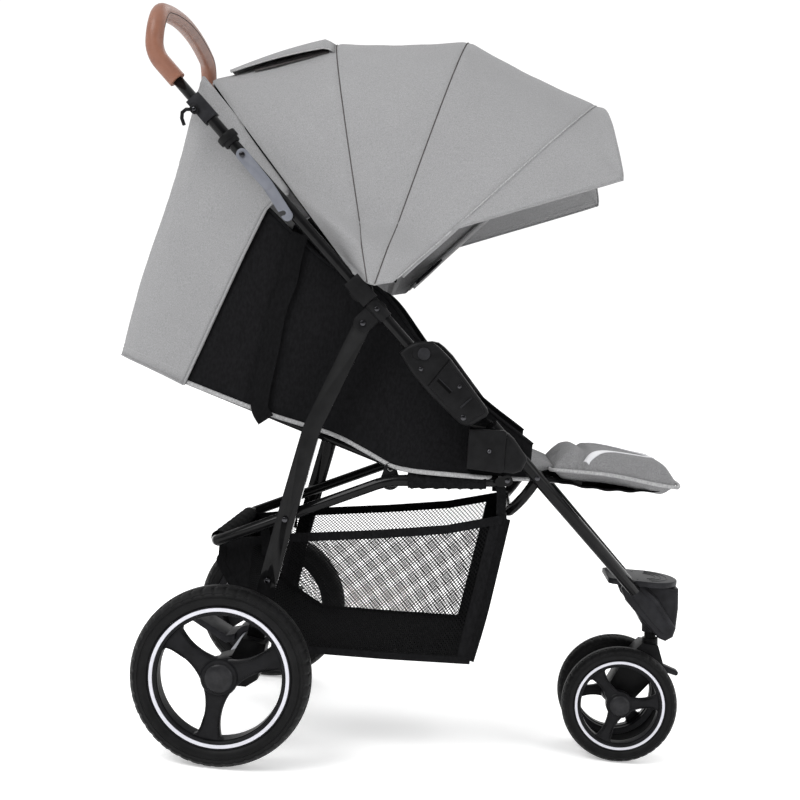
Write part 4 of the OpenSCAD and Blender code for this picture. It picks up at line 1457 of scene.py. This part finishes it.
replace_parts(piping("backrestFrame", eased(hoop, 6), 0.0055, paint, "backrest", "frame_black", 24),
        "backrest_frame")

foldValues = {
    "outline": ((0.2110, 0.6095), (0.2215, 0.6205), (0.2330, 0.6270), (0.2460, 0.6295),
            (0.2580, 0.6280), (0.2675, 0.6220),
                (0.2844, 0.6075), (0.3440, 0.5400), (0.3455, 0.5345), (0.3430, 0.5290),
                (0.3235, 0.5150), (0.3160, 0.5135),
                (0.3080, 0.5150), (0.3000, 0.5205), (0.2585, 0.5540), (0.2294, 0.5835)),
    "inner": ((0.2575, 0.5652), (0.2822, 0.6015), (0.3370, 0.5405), (0.3385, 0.5345),
            (0.3175, 0.5190), (0.3060, 0.5205)),
    "low": 0.1985, "high": 0.2305, "button": (0.2386, 0.6115),
}


def foldHousing(v, sign, tag):
    # the moulded fold joint: a rounded shell, a raised lower half with a slot and a ledge,
    # and the seam between
    def between(a, b):
        return sorted((sign * a, sign * b))

    shell = plate("foldHousing" + tag, v["outline"], *between(v["low"], v["high"]), 0.0058,
            plasticBlack, "upper_frame",
                  "black_plastic", 6)
    if tag == "Right":
        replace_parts(shell, "fold_housings")
    face = v["high"]
    # the slot and the seam line are coloured near-black: painted shade in these recesses
    pieces = (
        ("foldLower", v["inner"], face - 0.002, face + 0.0014, 0.0012, plasticBlack),
        ("foldSlot", ((0.2675, 0.5740), (0.2702, 0.5768), (0.2905, 0.5602), (0.2880, 0.5572)),
         face + 0.0008, face + 0.0018,
         0.0003, paintedShadeBlack),
        ("foldSlotEdge", ((0.2706, 0.5772), (0.2716, 0.5782), (0.2917, 0.5616), (0.2908, 0.5606)),
         face + 0.0008,
         face + 0.0026, 0.0003, plasticGrey),
        ("foldLedge", ((0.3045, 0.5400), (0.3062, 0.5386), (0.3205, 0.5535), (0.3188, 0.5549)),
         face + 0.0008, face + 0.0032,
         0.0005, plasticGrey),
        ("foldSeam", ((0.2556, 0.5662), (0.2564, 0.5656), (0.2838, 0.6062), (0.2830, 0.6070)),
         face - 0.001, face + 0.0004,
         0.0002, paintedShadeBlack))
    for name, outline, low, high, bevel, material in pieces:
        plate(name + tag, outline, *between(low, high), bevel, material, "upper_frame",
              "black_plastic")
    x, z = v["button"]
    ring = [at(x + 0.0104 * math.cos(math.pi * k / 24), z + 0.0104 * math.sin(math.pi * k / 24),
            sign * (face + 0.0002))
            for k in range(48)]
    piping("foldButtonRing" + tag, ring, 0.0007, plasticBlack, "upper_frame", "black_plastic",
           closed=True)


kneeValues = {
    "block": ((0.3215, 0.4512), (0.3205, 0.5095), (0.3700, 0.5112), (0.3745, 0.5085),
            (0.3757, 0.4520), (0.3710, 0.4492)),
    "sleeve": ((0.3700, 0.5105), (0.3790, 0.5060), (0.3868, 0.4995), (0.4060, 0.4760),
            (0.4078, 0.4710), (0.4010, 0.4545),
               (0.3900, 0.4500), (0.3700, 0.4500)),
    "screw": (0.352, 0.4795), "screwOut": 0.2178, "screwRadius": 0.0042,
}


def kneeBlock(v, sign, tag):
    # the block on a front leg's head and the sleeve that narrows from it onto the leg
    for name, outline, low, high, bevel in (("kneeBlock", v["block"], 0.176, 0.2185, 0.0022),
                                            ("kneeSleeve", v["sleeve"], 0.179, 0.2160, 0.0068)):
        piece = plate(name + tag, outline, *sorted((sign * low, sign * high)), bevel, plasticBlack,
                "front_legs",
                      "black_plastic", 6)
        if name + tag == "kneeBlockRight":
            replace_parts(piece, "knee_blocks")
    deselect()
    bpy.ops.mesh.primitive_uv_sphere_add(segments=24, ring_count=12, radius=v["screwRadius"],
                                         location=at(*v["screw"], sign * v["screwOut"]))
    screw = bpy.context.object
    screw.name = "kneeScrew" + tag
    settle(screw)
    pick(screw)
    bpy.ops.object.shade_smooth()
    dress(screw, rivetSteel, "front_legs", "rivet_steel")


# near-black, rough and hardly reflective: painted shade, put in the fold housings' slot and along
# their seam
paintedShadeBlack = plasticFinish("shadowBlack", (0.0015, 0.0015, 0.0016), 0.7, specular=0.05)
for sign, tag in sides:
    foldHousing(foldValues, sign, tag)
    kneeBlock(kneeValues, sign, tag)

hubValues = {
    "skirt": ((0.5885, 0.262), (0.606, 0.279), (0.640, 0.281), (0.672, 0.276), (0.6745, 0.245),
            (0.6735, 0.212),
              (0.662, 0.194), (0.649, 0.197), (0.622, 0.213), (0.602, 0.246)),
    "cheek": ((0.586, 0.284), (0.606, 0.288), (0.640, 0.258), (0.6715, 0.216), (0.668, 0.202),
            (0.657, 0.1945),
              (0.646, 0.198), (0.612, 0.230), (0.590, 0.252), (0.581, 0.270)),
    "rib": ((0.604, 0.276), (0.632, 0.255), (0.661, 0.217), (0.659, 0.207), (0.651, 0.206),
            (0.620, 0.236), (0.598, 0.262)),
    "half": 0.0335, "plate": (0.622, 0.050, 0.060), "top": 0.2872,
}


def trayFrom(name, outline, low, high, bevel, segments=4):
    # like plateFrom, but lying flat: the outline is seen from above
    tray = plateFrom(name, outline, -(high - low) / 2, (high - low) / 2, bevel, segments=segments)
    tray.data.transform(Matrix.Translation((axleBack, 0, 0)))
    tray.data.transform(Matrix.Rotation(math.radians(-90), 4, "X"))
    tray.data.transform(Matrix.Translation((-axleBack, 0, (low + high) / 2)))
    return tray


def frontHub(v):
    # the moulded head that joins the two front legs: a skirt, two cheeks and a footplate
    # with raised arcs
    grey = (plasticGrey, "front_legs", "grey_plastic")
    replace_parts(plate("frontHubBody", v["skirt"], -v["half"], v["half"], 0.006, *grey, 5),
            "front_hub")
    for sign, tag in sides:
        low, high = sorted((sign * (v["half"] - 0.003), sign * (v["half"] + 0.013)))
        plate("frontHubCheek" + tag, v["cheek"], low, high, 0.005, *grey, 5)
        low, high = sorted((sign * (v["half"] + 0.0115), sign * (v["half"] + 0.0145)))
        plate("frontHubRib" + tag, v["rib"], low, high, 0.001, *grey)
    x0, long, wide = v["plate"]
    edge = [(x0 + long * math.cos(math.radians(a)), wide * math.sin(math.radians(a)))
            for a in range(-84, 85, 6)]
    back = [(0.566, 0.0555), (0.559, 0.048), (0.559, -0.048), (0.566, -0.0555)]
    dress(trayFrom("footPlate", edge + back, v["top"] - 0.009, v["top"], 0.0022), *grey)
    for k, share in enumerate((0.80, 0.62, 0.44)):
        arc = [at(x0 - 0.006 + long * share * math.cos(math.radians(a)), v["top"] - 0.0002,
                  wide * share * math.sin(math.radians(a))) for a in range(-75, 76, 5)]
        piping("footPlateArc%d" % k, arc, 0.0010, *grey)


frontHub(hubValues)
print("hard parts made")
